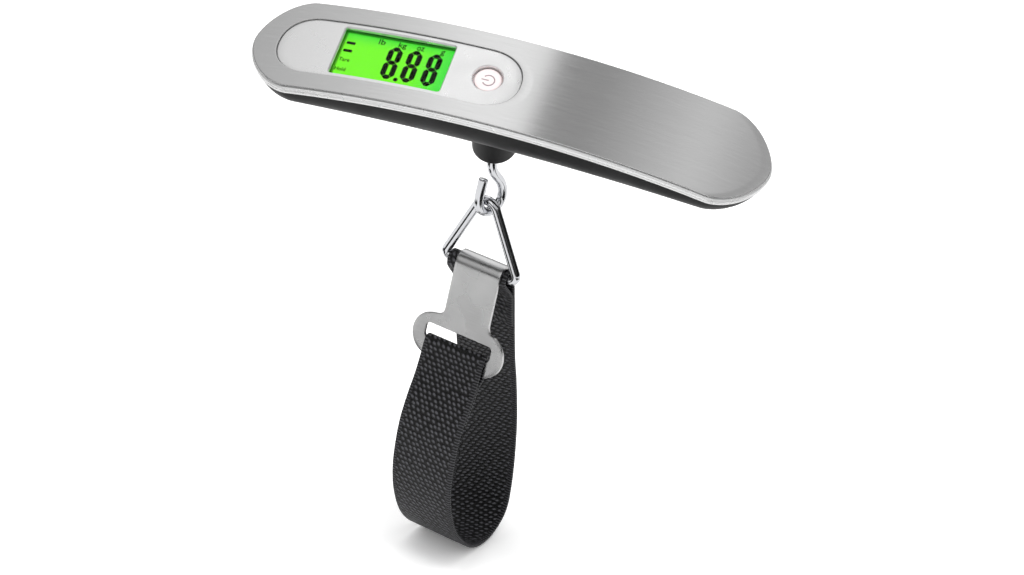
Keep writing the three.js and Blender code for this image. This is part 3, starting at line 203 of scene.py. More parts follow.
def turn(axis, degrees):
    """Rotation matrix about one axis: 0 is x, 1 is y, 2 is z."""
    c, s = math.cos(math.radians(degrees)), math.sin(math.radians(degrees))
    m = np.eye(3)
    i, j = (axis + 1) % 3, (axis + 2) % 3
    m[i, i], m[i, j], m[j, i], m[j, j] = c, -s, s, c
    return m


GRIP = turn(1, GRIP_SLOPE) @ turn(0, GRIP_LEAN)


def in_grip(points):
    """Points of the grip's own frame, in mm, to the row frame in metres."""
    return (np.asarray(points, float) + (0.0, 0.0, GRIP_DEPTH)) @ GRIP.T * MM


def on_arch(s, y, h):
    """Arc length s, across y and height h over the arch, each an array, to points of the grip's frame."""
    s, y, h = np.broadcast_arrays(np.asarray(s, float), y, h)
    angle = s / ARCH_RADIUS
    radius = ARCH_RADIUS + h
    return np.stack([radius * np.sin(angle), y, radius * np.cos(angle) - ARCH_RADIUS], -1)


def in_frame(s, points):
    """Points of the flat frame that stands on the arch at s, to the grip's frame."""
    return np.asarray(points, float) @ turn(1, math.degrees(s / ARCH_RADIUS)).T + on_arch(s, 0.0, 0.0)


HUB_X = float(on_arch(HUB_S, 0, 0)[0])
PIN = in_grip((HUB_X, 0.0, -PIN_DEPTH)) / MM
RING_APEX_DROP = HOOK_DROP - 2 * WIRE_R - RING_LIFT
BAR = PIN - (0.0, 0.0, RING_APEX_DROP + RING_HEIGHT)
CHAIN = turn(2, -CHAIN_TURN)


def in_chain(x, w, z):
    """Across x, forward w and up z from the middle of the ring's bar, in mm, to the row frame in metres."""
    x, w, z = np.broadcast_arrays(np.asarray(x, float), w, z)
    return (np.stack([x, -w, z], -1) @ CHAIN.T + BAR) * MM


def outline(shape, count=4000):
    """Dense closed outline as rows of s and y, anticlockwise from the +s end. Each end is t^p + (y/b)^p = 1, with t
    running from 0 where the straight side stops to 1 at the tip."""
    centre, a, b, end, p = shape
    u = np.linspace(0, 1, count)
    bent = (1 - u ** p) ** (1 / p)
    quarter = np.concatenate([np.stack([u, bent], 1), np.stack([bent, u], 1)])
    quarter = quarter[np.argsort(np.arctan2(quarter[:, 1], quarter[:, 0]))] * (end, b) + (a - end, 0)
    straight = np.column_stack([np.linspace(a - end, 0, count)[1:], np.full(count - 1, b)])
    quarter = np.concatenate([quarter, straight])
    half = np.concatenate([quarter, quarter[::-1] * (-1, 1)])
    return np.concatenate([half, -half]) + (centre, 0)


def evenly(line, count, turn_weight, closed=False):
    """Line at count places, evenly by length plus turn_weight mm for each radian that it turns, end left out."""
    if closed:
        line = np.concatenate([line, line[:1]])
    line = line[np.concatenate([[True], np.hypot(*np.diff(line, axis=0).T) > 1e-7])]
    step = np.diff(line, axis=0)
    heading = np.unwrap(np.arctan2(step[:, 1], step[:, 0]))
    past = {"append": heading[0] + 2 * np.pi} if closed else {"prepend": heading[0]}
    bend = np.abs(np.diff(heading, **past))
    measure = np.concatenate([[0], np.cumsum(np.hypot(*step.T) + turn_weight * bend)])
    at = np.linspace(0, measure[-1], count, endpoint=False)
    return np.stack([np.interp(at, measure, line[:, c]) for c in (0, 1)], 1)


def grown(shape, by):
    """Outline grown outward on every side."""
    centre, a, b, end, p = shape
    return centre, a + by, b + by, end + by, p


CASE_OUTLINE = grown(PLATE, RIM_OVERHANG - CASE_INSET)


def half_width(shape, s):
    """Half-width of an outline at the arc length s."""
    centre, a, b, end, p = shape
    t = np.clip((np.abs(np.asarray(s, float) - centre) - (a - end)) / end, 0, 1)
    return b * (1 - t ** p) ** (1 / p)


def around(shape, by=0.0, quarter=56):
    """Outline at 4 * quarter places, each quarter with as many, so that two outlines match place by place."""
    dense = outline(grown(shape, by))
    size = len(dense) // 4
    line = np.concatenate([evenly(dense[k * size:(k + 1) * size], quarter, 14.0) for k in range(4)])
    line[np.abs(line[:, 0] - shape[0]) < 1e-6, 0] = shape[0]
    return line


def grid_faces(rows, cols, close_rows, close_cols):
    """Quads over a grid of points, with the rows and columns closed round or open."""
    r = np.arange(rows if close_rows else rows - 1)
    c = np.arange(cols if close_cols else cols - 1)
    r, c = np.meshgrid(r, c, indexing="ij")
    r2, c2 = (r + 1) % rows, (c + 1) % cols
    return np.stack([r * cols + c, r * cols + c2, r2 * cols + c2, r2 * cols + c], -1).reshape(-1, 4)


def add_object(name, data):
    obj = bpy.data.objects.new(name, data)
    bpy.context.scene.collection.objects.link(obj)
    return obj


def read_points(mesh):
    """A mesh's points as rows."""
    points = np.zeros(len(mesh.vertices) * 3, np.float32)
    mesh.vertices.foreach_get("co", points)
    return points.reshape(-1, 3).astype(float)


def write_points(mesh, points):
    mesh.vertices.foreach_set("co", points.astype(np.float32).ravel())


def add_surface_map(mesh, places):
    """UV map from a place in metres for each point."""
    layer = mesh.uv_layers.new(name="Surface")
    loops = np.zeros(len(mesh.loops), np.int32)
    mesh.loops.foreach_get("vertex_index", loops)
    layer.data.foreach_set("uv", np.asarray(places, np.float32).reshape(-1, 2)[loops].ravel())


def build_mesh(name, points, faces, uv=None, caps=()):
    """Mesh object from points in metres, faces, a UV place in metres for each point, and cap loops."""
    mesh = bpy.data.meshes.new(name)
    polygons = [list(f) for f in faces] + [list(c) for c in caps]
    mesh.from_pydata(np.asarray(points).reshape(-1, 3).tolist(), [], polygons)
    if uv is not None:
        add_surface_map(mesh, uv)
    return add_object(name, mesh)


def tidy(obj, sharp_degrees=32.0, merge=2e-6):
    """Merges doubles, turns the faces outward and shades smooth except over sharp edges."""
    bm = bmesh.new()
    bm.from_mesh(obj.data)
    bmesh.ops.remove_doubles(bm, verts=bm.verts, dist=merge)
    bmesh.ops.dissolve_degenerate(bm, edges=bm.edges, dist=merge)
    bmesh.ops.recalc_face_normals(bm, faces=bm.faces)
    bm.to_mesh(obj.data)
    bm.free()
    obj.data.shade_smooth()
    obj.data.set_sharp_from_angle(angle=math.radians(sharp_degrees))
    return obj


def rings_mesh(name, rings, close_rows=True, uv=None):
    """Skin through rings of points, each closed. The last ring joins the first where close_rows is set, and the two
    end rings are capped where it isn't."""
    points = np.stack(rings)
    rows, cols = points.shape[:2]
    caps = [] if close_rows else [range(cols), range((rows - 1) * cols, rows * cols)]
    return build_mesh(name, points, grid_faces(rows, cols, close_rows, True), uv, caps)


def capped(name, rings):
    """Closed prism through rings, with both ends capped, faces outward."""
    return tidy(rings_mesh(name, rings, close_rows=False), 180)


def merge_into(obj, others):
    """Adds other mesh objects to a piece, and removes them."""
    bm = bmesh.new()
    bm.from_mesh(obj.data)
    for other in others:
        bm.from_mesh(other.data)
        bpy.data.objects.remove(other, do_unlink=True)
    bm.to_mesh(obj.data)
    bm.free()


def keep_modifiers(obj):
    """Turns what a piece's modifiers give into its mesh."""
    bpy.context.view_layer.update()
    evaluated = obj.evaluated_get(bpy.context.evaluated_depsgraph_get())
    obj.data = bpy.data.meshes.new_from_object(evaluated)
    obj.modifiers.clear()


def combine(obj, operation, *others):
    """Joins, cuts or keeps a piece by other closed objects with exact Booleans, and removes those."""
    for other in others:
        modifier = obj.modifiers.new("combine", "BOOLEAN")
        modifier.operation = operation
        modifier.solver = "EXACT"
        modifier.object = other
    keep_modifiers(obj)
    for other in others:
        bpy.data.objects.remove(other, do_unlink=True)


def finish_piece(obj, body, material, slot, *nodes):
    """Gives a piece its material, makes it ride on a body and lets it stand for CAD nodes. The slot is not used."""
    obj.data.materials.clear()
    obj.data.materials.append(material)
    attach(obj, body)
    if nodes:
        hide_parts(*nodes)
    return obj


def dress(node, material):
    """Assigns a material to a carried-over CAD node."""
    data = frame["nodes"][node].data
    data.materials.clear()
    data.materials.append(material)


def circle(radius, count):
    t = np.arange(count) * 2 * np.pi / count
    return np.stack([radius * np.cos(t), radius * np.sin(t)], 1)


def turned(profile, count=96):
    """Rings of a shape turned about z: profile rows are radius and height."""
    unit = circle(1.0, count)
    return [np.column_stack([unit * r, np.full(count, z)]) for r, z in profile]


def tube(name, line, radius, sides=28, closed=False, ends=0.3):
    """Round wire of radius mm along points in mm: a circle carried with a steady frame. A closed line's twist is
    spread along it, and an open line's ends are eased by ends mm."""
    line = np.asarray(line, float)
    tangent = np.roll(line, -1, 0) - np.roll(line, 1, 0) if closed else np.gradient(line, axis=0)
    tangent /= np.linalg.norm(tangent, axis=1, keepdims=True)
    normal = [np.cross(tangent[0], (1.0, 0.3, 0.2))]
    for along in tangent:
        n = normal[-1] - along * (normal[-1] @ along)
        normal.append(n / np.linalg.norm(n))
    normal = np.array(normal[1:])
    side = np.cross(tangent, normal)
    twist = math.atan2(normal[0] @ side[-1], normal[0] @ normal[-1]) if closed else 0.0
    if not closed:
        at = np.concatenate([[0, 0], np.arange(len(line)), [-1, -1]])
        line, tangent, normal, side = (rows[at] for rows in (line, tangent, normal, side))
        inset = np.array([0, 0.4, 1])[:, None] * ends
        line[:3] += tangent[:3] * inset
        line[-3:] -= tangent[-3:] * inset[::-1]
    radii = np.full(len(line), radius)
    if not closed:
        radii[[0, -1]] -= ends
        radii[[1, -2]] -= ends * 0.25
    t = np.arange(sides) * 2 * np.pi / sides + (twist * np.arange(len(line)) / len(line))[:, None]
    out = normal[:, None] * np.cos(t)[..., None] + side[:, None] * np.sin(t)[..., None]
    return tidy(rings_mesh(name, (line[:, None] + out * radii[:, None, None]) * MM, close_rows=closed))


def add_node(tree, kind, settings=None, **links):
    """Adds a node and joins its sockets to outputs. settings are its properties, its sockets' values and a ramp's
    stops, which are pairs of a place and a grey value or a colour."""
    node = tree.nodes.new(kind)
    for key, value in (settings or {}).items():
        if key == "stops":
            elements = node.color_ramp.elements
            while len(elements) < len(value):
                elements.new(0.5)
            for element, (place, tone) in zip(elements, value):
                element.position = place
                element.color = tone if isinstance(tone, tuple) else (tone, tone, tone, 1.0)
        elif isinstance(key, int) or key in node.inputs:
            node.inputs[key].default_value = value
        else:
            setattr(node, key, value)
    join(tree, node, **links)
    return node


def join(tree, node, **links):
    """Joins outputs to a node's sockets. A key is the socket's name with _ for a space, or in_ and its number."""
    for key, output in links.items():
        socket = node.inputs[int(key[3:])] if key.startswith("in_") else node.inputs[key.replace("_", " ")]
        tree.links.new(output, socket)


def new_material(name, settings):
    """Material with a Principled shader. Returns the material, its tree and the shader."""
    material = bpy.data.materials.new(name)
    material.use_nodes = True
    tree = material.node_tree
    tree.nodes.clear()
    shader = add_node(tree, "ShaderNodeBsdfPrincipled", settings)
    add_node(tree, "ShaderNodeOutputMaterial", Surface=shader.outputs["BSDF"])
    return material, tree, shader


def object_coordinates(tree, scale=(1.0, 1.0, 1.0)):
    place = add_node(tree, "ShaderNodeTexCoord")
    return add_node(tree, "ShaderNodeMapping", {"Scale": scale}, Vector=place.outputs["Object"]).outputs["Vector"]


def uv_coordinates(tree, scale=(1.0, 1.0, 1.0)):
    place = add_node(tree, "ShaderNodeUVMap", {"uv_map": "Surface"})
    return add_node(tree, "ShaderNodeMapping", {"Scale": scale}, Vector=place.outputs["UV"]).outputs["Vector"]


def place_coordinates(tree, matrix, origin, scale=(1.0, 1.0, 1.0)):
    """Object coordinates seen from a frame of the part (a rotation matrix and an origin in mm), times a scale."""
    place = add_node(tree, "ShaderNodeTexCoord")
    seen = add_node(tree, "ShaderNodeMapping", {
        "vector_type": "TEXTURE", "Location": [c * MM for c in origin],
        "Rotation": mathutils.Matrix(matrix.tolist()).to_euler("XYZ")}, Vector=place.outputs["Object"])
    return add_node(tree, "ShaderNodeMapping", {"Scale": scale}, Vector=seen.outputs["Vector"]).outputs["Vector"]


def window_coordinates(tree, scale=(1.0, 1.0, 1.0)):
    """Coordinates of the flat frame that stands on the arch at the window."""
    matrix = GRIP @ turn(1, math.degrees(WINDOW_S / ARCH_RADIUS))
    return place_coordinates(tree, matrix, GRIP @ (on_arch(WINDOW_S, 0, 0) + (0, 0, GRIP_DEPTH)), scale)


def grip_coordinates(tree):
    return place_coordinates(tree, GRIP, GRIP @ (0, 0, GRIP_DEPTH))


def vary_roughness(tree, shader, vector, scale, low, high):
    """Smudges: a soft noise moves the roughness between low and high."""
    noise = add_node(tree, "ShaderNodeTexNoise", {"Scale": scale, "Detail": 3.0}, Vector=vector)
    spread = add_node(tree, "ShaderNodeMapRange", {"From Min": 0.35, "From Max": 0.65, "To Min": low,
                                                   "To Max": high}, Value=noise.outputs["Fac"])
    join(tree, shader, Roughness=spread.outputs["Result"])


def mottle(tree, shader, vector, scale, detail, dark, light):
    """Uneven colour: a noise moves the base colour between two stops. Returns the noise and the colour."""
    noise = add_node(tree, "ShaderNodeTexNoise", {"Scale": scale, "Detail": detail}, Vector=vector)
    tint = add_node(tree, "ShaderNodeValToRGB", {"stops": (dark, light)}, Fac=noise.outputs["Fac"])
    join(tree, shader, Base_Color=tint.outputs["Color"])
    return noise.outputs["Fac"], tint.outputs["Color"]


def colours():
    return bpy.context.scene.luggage_scale_colours


def sizes():
    return bpy.context.scene.luggage_scale_sizes


def size_of(name):
    """A size that the user can change, in mm."""
    return round(getattr(sizes(), name) / MM, 4)


def colour_of(name):
    return tuple(getattr(colours(), name))


def darker(colour, share):
    return tuple(c * share for c in colour[:3]) + (1.0,)


def rows_over(start, end, steps):
    """Outlines that change from one to another, in equal steps, both ends left out."""
    shares = np.linspace(0, 1, steps + 2)[1:-1]
    return [start + (end - start) * t for t in shares]


def arch_rings(lines):
    """Rings in metres from pairs of a flat outline and its height over the arch."""
    return [in_grip(on_arch(line[:, 0], line[:, 1], h)) for line, h in lines]


def flat_rings(line, s, heights):
    """Rings in metres: a flat outline at some heights of the frame that stands on the arch at s."""
    return [in_grip(in_frame(s, np.column_stack([line, np.full(len(line), z)]))) for z in heights]


def turned_on_arch(profile, s, count, x=0.0, y=0.0):
    """Rings in metres of a turned shape on the frame that stands on the arch at s, moved by x and y."""
    return [in_grip(in_frame(s, ring + (x, y, 0))) for ring in turned(profile, count)]


def eased(by, high, radius, steps=5, inward=False):
    """Quarter-round edge: growth and height pairs from the wall up to the top, or from the top down to a wall."""
    t = np.linspace(0, np.pi / 2, steps + 1)
    pairs = [(by - radius + radius * math.cos(a), high - radius + radius * math.sin(a)) for a in t]
    if inward:
        pairs = [(by + radius - radius * math.cos(a), high - radius + radius * math.sin(a)) for a in t][::-1]
    return pairs


def build_plate():
    """Top plate. Rings run out from the panel's opening over the top to the edge, and back underneath past an
    undercut that leaves a dark line over the frame. Both edges are eased, and every ring lies on the arch."""
    hole = [(around(PANEL, by), h) for by, h in eased(PANEL_GAP, 0.0, 0.1, 3, inward=True)[::-1]]
    edge = [(around(PLATE, by), h) for by, h in eased(0.0, 0.0, 0.2, 3)[::-1]]
    top = [(line, 0.0) for line in rows_over(hole[-1][0], edge[0][0], 22)]
    inset = around(PLATE, -PLATE_UNDERCUT)
    low = -size_of("plate_thickness")
    under = [(around(PLATE), -0.28), (inset, -0.34), (inset, low)]
    under += [(line, low) for line in rows_over(inset, around(PANEL, PANEL_GAP), 10)]
    under += [(around(PANEL, PANEL_GAP), low)]
    lines = hole + top + edge + under
    uv = np.concatenate([line * MM for line, _ in lines])
    obj = rings_mesh("plate_surface", arch_rings(lines), uv=uv)
    tidy(obj, 40)
    finish_piece(obj, "housing", brushed_plate(), "plate_steel", "top_plate")


def build_rim():
    """Frame under the plate. Its section goes up the outer wall past a fine parting groove, over a quarter-round
    edge, along the deck under the plate to the panel's opening and back underneath. Four screw posts stand on it."""
    wall = RIM_OVERHANG
    deck = -size_of("plate_thickness") - GAP
    low = deck - DECK_T
    groove = RIM_LOW + 0.85
    outer = [(wall, RIM_LOW), (wall, groove - 0.13), (wall - 0.3, groove - 0.08), (wall - 0.3, groove + 0.08),
             (wall, groove + 0.13)] + eased(wall, deck, RIM_ROUND, 7)
    lines = [(around(PLATE, by), h) for by, h in outer]
    lines += [(line, deck) for line in rows_over(around(PLATE, wall - RIM_ROUND), around(PANEL, PANEL_GAP), 10)]
    lines += [(around(PANEL, PANEL_GAP), deck), (around(PANEL, PANEL_GAP), low)]
    lines += [(line, low) for line in rows_over(around(PANEL, PANEL_GAP), around(PLATE, wall - RIM_WALL), 10)]
    lines += [(around(PLATE, wall - RIM_WALL), low), (around(PLATE, wall - RIM_WALL), RIM_LOW)]
    obj = rings_mesh("frame_surface", arch_rings(lines))
    profile = [(2.2, SCREW_POST_LOW), (2.2, low + 0.4), (1.3, low + 0.4), (1.3, SCREW_POST_LOW)]
    merge_into(obj, [rings_mesh("post", turned_on_arch(profile, s, 32, 0, y)) for s, y in CASE_SCREWS])
    tidy(obj, 40)
    finish_piece(obj, "housing", satin_frame(), "silver_frame", "rim_frame")


def rounded_rectangle(half_x, half_y, radius, steps=8):
    """Closed rectangle with round corners, anticlockwise."""
    t = np.linspace(0, np.pi / 2, steps + 1)
    corner = np.stack([radius * np.cos(t), radius * np.sin(t)], 1)
    spin = np.array([[0, 1], [-1, 0]])
    parts = []
    for sx, sy in ((1, 1), (-1, 1), (-1, -1), (1, -1)):
        parts.append(corner + ((half_x - radius) * sx, (half_y - radius) * sy))
        corner = corner @ spin
    return np.concatenate(parts)


def split_long(line, longest):
    """Closed line with its long straight stretches divided."""
    parts = []
    for a, b in zip(line, np.roll(line, -1, 0)):
        count = max(1, int(np.ceil(np.hypot(*(b - a)) / longest)))
        parts.append(a + (b - a) * (np.arange(count) / count)[:, None])
    return np.concatenate(parts)


def build_panel():
    """Display panel. A ringed slab on the arch gets its window, the lens pocket, a chamfer round the window and the
    button's hole cut out of it, and four board posts."""
    base = around(PANEL)
    centre = np.array([PANEL[0], 0.0])
    top = -PANEL_SINK
    edge = [(around(PANEL, by), h) for by, h in eased(0.0, top, 0.25, 4)[::-1]]
    inner = [(centre + (edge[0][0] - centre) * t, top) for t in np.linspace(0.04, 1, 16)[:-1]]
    side = [(base, PANEL_LIP_TOP), (around(PANEL, PANEL_LIP), PANEL_LIP_TOP), (around(PANEL, PANEL_LIP), PANEL_BACK)]
    back = [(centre + (base - centre) * t, PANEL_BACK) for t in np.linspace(1, 0.04, 12)]
    obj = capped("panel_surface", arch_rings(inner + edge + side + back))

    def window_prism(name, grow, low, high):
        line = rounded_rectangle(WINDOW_L / 2 + grow, WINDOW_W / 2 + grow, 0.5)
        return capped(name, flat_rings(line, WINDOW_S, (high, low)))

    def arch_ring(grow, h):
        line = rounded_rectangle(WINDOW_L / 2 + grow, WINDOW_W / 2 + grow, 0.5 + max(grow, 0))
        line = evenly(line, 120, 1.0, closed=True)
        return in_grip(on_arch(WINDOW_S + line[:, 0], line[:, 1], h))

    rise = in_grip((0, 0, 0.3)) - in_grip((0, 0, 0))
    hole = [(5.3, -6), (5.3, -2.05), (BUTTON_HOLE_R, -2.04), (BUTTON_HOLE_R, top - 0.3),
            (BUTTON_HOLE_R + 0.08, top - 0.12), (BUTTON_HOLE_R + 0.3, top), (BUTTON_HOLE_R + 0.6, top + 0.3)]
    combine(obj, "DIFFERENCE", window_prism("window_cutter", 0, -3, 1),
            window_prism("pocket_cutter", POCKET_MARGIN, -6, -WINDOW_DEPTH),
            capped("chamfer_cutter", [arch_ring(-0.6, top - 1.25), arch_ring(0.65, top) + rise]),
            capped("bore_cutter", turned_on_arch(hole, BUTTON_S, 96)))
    profile = [(1.7, -6.7), (1.7, -3.6), (0.9, -3.6), (0.9, -6.7)]
    across, along = BOARD_POSTS
    merge_into(obj, [rings_mesh("post", turned_on_arch(profile, WINDOW_S, 24, x, y))
                     for x in (-across, across) for y in (-along, along)])
    tidy(obj, 25)
    finish_piece(obj, "housing", panel_finish(), "panel_silver", "display_bezel")


def segment_bar(x0, y0, x1, y1, thick):
    """Hexagon from one point to another with mitred ends: the shape of a display segment."""
    a, b = np.array([x0, y0]), np.array([x1, y1])
    d = (b - a) / np.hypot(*(b - a))
    n = np.array([-d[1], d[0]]) * thick / 2
    t = d * thick / 2
    return np.array([a, a + t + n, b - t + n, b, b - t - n, a + t - n])


def display_place(u, v):
    """Share across and down the window, as the camera sees the marks through it, to x and y of its frame."""
    return (u - 0.5) * WINDOW_L - MARKS_LEFT, (0.5 - v) * WINDOW_W + MARKS_UP


def text_mesh(body, height, width, centre):
    """Word as a closed thin mesh on the display, stretched to a height and width in mm round a centre."""
    curve = bpy.data.curves.new("word", "FONT")
    curve.body = body
    curve.extrude = 0.5
    curve.resolution_u = 3
    curve.offset = 0.008
    obj = add_object("word", curve)
    bpy.context.view_layer.update()
    mesh = bpy.data.meshes.new_from_object(obj.evaluated_get(bpy.context.evaluated_depsgraph_get()))
    bpy.data.objects.remove(obj, do_unlink=True)
    points = read_points(mesh)
    low, high = points.min(0), points.max(0)
    points = (points - (low + high) / 2) * np.array([width, height, MARK_T]) / (high - low)
    points += (centre[0], centre[1], MARK_LOW + MARK_T / 2)
    write_points(mesh, in_grip(in_frame(WINDOW_S, points)))
    return add_object("word", mesh)


def build_marks():
    """Display's dark segments: three digits and a point from mitred bars, unit letters, two bars and two words."""
    shapes = []
    middle = display_place(0, DIGIT_MIDDLE)[1]
    for start, stop in DIGITS:
        x0, y0 = display_place(start, DIGIT_LOW)
        x1, y1 = display_place(stop, DIGIT_TOP)
        left, right = x0 + SEGMENT_T / 2, x1 - SEGMENT_T / 2
        bottom, top = y0 + SEGMENT_LEVEL_T / 2, y1 - SEGMENT_LEVEL_T / 2
        for bar in (top, middle, bottom):
            shapes.append(segment_bar(left + SEGMENT_GAP, bar, right - SEGMENT_GAP, bar, SEGMENT_LEVEL_T))
        for side in (left, right):
            shapes.append(segment_bar(side, middle + SEGMENT_GAP, side, top - SEGMENT_GAP, SEGMENT_T))
            shapes.append(segment_bar(side, bottom + SEGMENT_GAP, side, middle - SEGMENT_GAP, SEGMENT_T))
    shapes.append(circle(0.66, 20) + display_place(0.596, 0.92))
    shapes += [rounded_rectangle(1.33, 0.45, 0.1, 3) + display_place(u, v) for u, v in ((0.093, 0.318), (0.090, 0.491))]
    heights = (MARK_LOW, MARK_LOW + MARK_T)
    parts = [rings_mesh("mark", flat_rings(shape, WINDOW_S, heights), close_rows=False) for shape in shapes]
    parts += [text_mesh(body, height, width, display_place(u, v)) for body, u, v, height, width in MARK_WORDS]
    obj = parts.pop(0)
    obj.name = "display_marks"
    merge_into(obj, parts)
    tidy(obj, 40, merge=1e-7)
    finish_piece(obj, "housing", display_ink(), "display_green")


def build_button():
    """Button cap turned from a profile: a shallow crown, a round edge, a retaining flange and the stem. The power
    mark on it is an open ring and a line."""
    cap_r = size_of("button_radius")
    top, low = -BUTTON_SINK, -BUTTON_SINK - 1.1
    crown = [(r, top - BUTTON_CROWN * (r / BUTTON_CROWN_R) ** 2) for r in np.linspace(0.05, BUTTON_CROWN_R, 9)]
    edge = [(BUTTON_CROWN_R + (cap_r - BUTTON_CROWN_R) * math.sin(a), top - BUTTON_CROWN - 0.5 * (1 - math.cos(a)))
            for a in np.linspace(0.2, np.pi / 2, 7)]
    rest = [(cap_r, low), (5.0, low), (5.0, low - 0.5), (1.5, low - 0.5), (1.5, BUTTON_BACK), (0.05, BUTTON_BACK)]
    cap = rings_mesh("button_surface", turned_on_arch(crown + edge + rest, BUTTON_S, 96), close_rows=False)
    tidy(cap, 40)
    finish_piece(cap, "button", button_plastic(), "button_white", "button_cap")
    t = np.radians(np.linspace(-142, 142, 56))
    arc = np.stack([np.cos(t), np.sin(t)], 1)
    ring = np.concatenate([arc * 1.95, arc[::-1] * 1.58])
    bar = np.array([[-2.1, -0.17], [0.1, -0.17], [0.1, 0.17], [-2.1, 0.17]])

    def on_cap(name, points):
        points = points + (0.25, -0.2)
        drop = top - BUTTON_CROWN * (np.hypot(*points.T) / BUTTON_CROWN_R) ** 2
        rings = [in_grip(in_frame(BUTTON_S, np.column_stack([points, drop + h]))) for h in (-0.03, 0.035)]
        return rings_mesh(name, rings, close_rows=False)

    mark = on_cap("power_mark", ring)
    merge_into(mark, [on_cap("bar", bar)])
    tidy(mark, 40, merge=1e-7)
    finish_piece(mark, "button", button_print(), "dark_rubber")


def case_depth(u):
    """Depth of the case at the share u of its half-length."""
    end = size_of("case_end_depth")
    taper = end + (size_of("case_depth") - end) * (1 - np.abs(u) ** CASE_TAPER)
    return taper * (1 - np.abs(u) ** 14) ** 0.4


def case_bowl(name, wall, top):
    """Solid bowl of the lower case, drawn in by a wall: at each station along the arch the section is the lower
    half of a superellipse, as wide as the outline and as deep as a taper from the middle to the ends."""
    a = CASE_OUTLINE[1] - wall
    k = np.linspace(-1, 1, 141)
    u = np.sign(k) * np.minimum(1 - (1 - np.abs(k)) ** 2.5, 0.9999999)
    w = np.maximum(half_width(grown(CASE_OUTLINE, -wall), a * u), 0.15)
    d = np.maximum(case_depth(a * u / CASE_OUTLINE[1]) - wall, 0.3)
    t = np.linspace(0, np.pi, 65)
    power = 2 / CASE_ROUND
    y = -w[:, None] * np.sign(np.cos(t)) * np.abs(np.cos(t)) ** power
    h = CASE_TOP - d[:, None] * np.abs(np.sin(t)) ** power
    y = np.column_stack([y, w, -w])
    h = np.column_stack([h, np.full(len(w), top), np.full(len(w), top)])
    points = in_grip(on_arch((a * u)[:, None], y, h))
    return capped(name, list(points))


def hub_rings(profile):
    """Rings about the hub's axis from radius and height pairs of the grip's frame."""
    return [in_grip(ring + (HUB_X, 0, 0)) for ring in turned(profile, 96)]


def build_case():
    """Lower case: the bowl less an inner bowl, with the hub turned under it. The hub's root is a concave fillet,
    and its open end has a rounded edge. The doorway, the screw seats and the bore are cut out."""
    shell = case_bowl("case_surface", 0.0, CASE_TOP)
    root, hub_r, root_r = CASE_TOP - size_of("case_depth"), size_of("hub_radius"), HUB_ROOT_R + 0.6
    t = np.linspace(0, np.pi / 2, 8)
    fillet = [(root_r - (root_r - hub_r) * math.sin(a), root + 0.6 - 2.4 * (1 - math.cos(a))) for a in t]
    lower = [(hub_r - HUB_ROUND * (1 - math.cos(a)), -HUB_END + HUB_ROUND * (1 - math.sin(a))) for a in t]
    hub = capped("hub", hub_rings([(root_r, root + 3)] + fillet + lower))
    combine(shell, "DIFFERENCE", case_bowl("inner_bowl", CASE_WALL, CASE_TOP + 1))
    combine(shell, "UNION", hub)
    bore = capped("bore", hub_rings([(HUB_BORE_R, root + 4), (HUB_BORE_R, -HUB_END + 0.5),
                                     (HUB_BORE_R + 0.5, -HUB_END - 0.01), (HUB_BORE_R + 0.5, -HUB_END - 3)]))
    line = rounded_rectangle(DOOR_L / 2 + GAP, DOOR_W / 2 + GAP, 0.6, 5)
    seat = [(CASE_SCREW_HEAD_R + GAP, CASE_TOP - 20), (CASE_SCREW_HEAD_R + GAP, CASE_TOP - CASE_SCREW_SEAT)]
    combine(shell, "DIFFERENCE", bore, capped("doorway", flat_rings(line, DOOR_S, (-26, -10))),
            *[capped("seat", turned_on_arch(seat, s, 40, 0, y)) for s, y in CASE_SCREWS])
    tidy(shell, 32)
    finish_piece(shell, "housing", case_plastic(), "black_case", "lower_case")


def build_door():
    """Battery door: the stretch of the case's wall inside the doorway, with thumb ridges and inner ribs. A ridge is
    a thin ellipse carried across the door on the case's surface, and it fades out at both ends."""
    door = case_bowl("door_surface", 0.0, CASE_TOP)
    combine(door, "DIFFERENCE", case_bowl("inner_bowl", CASE_WALL, CASE_TOP + 1))
    box = rounded_rectangle(DOOR_L / 2, DOOR_W / 2, 0.6, 5)
    combine(door, "INTERSECT", capped("box", flat_rings(box, DOOR_S, (-26, -10.5))))
    parts = []
    y, section = np.linspace(-5.5, 5.5, 23), circle(1.0, 12)
    fade = np.sqrt(np.clip(1 - (y / 5.6) ** 6, 0.04, 1))[:, None]
    for s in DOOR_S + DOOR_L / 2 - 2.4 - np.arange(5) * 1.5:
        half = half_width(CASE_OUTLINE, s)
        h = CASE_TOP - case_depth(s / CASE_OUTLINE[1]) * (1 - np.abs(y / half) ** CASE_ROUND) ** (1 / CASE_ROUND)
        rings = on_arch(s + 0.42 * section[:, 0] * fade, y[:, None], h[:, None] + 0.28 * section[:, 1] * fade)
        parts.append(rings_mesh("ridge", in_grip(rings), close_rows=False))
    floor = float(CASE_TOP - case_depth(DOOR_S / CASE_OUTLINE[1]) + CASE_WALL)
    for side in (-5.0, 5.0):
        line = rounded_rectangle(DOOR_L * 0.25, 0.6, 0.25, 3) + (0, side)
        parts.append(rings_mesh("rib", flat_rings(line, DOOR_S, (floor - 1.0, floor + 0.35)), close_rows=False))
    merge_into(door, parts)
    tidy(door, 32)
    finish_piece(door, "door", case_plastic(), "black_case", "battery_door")


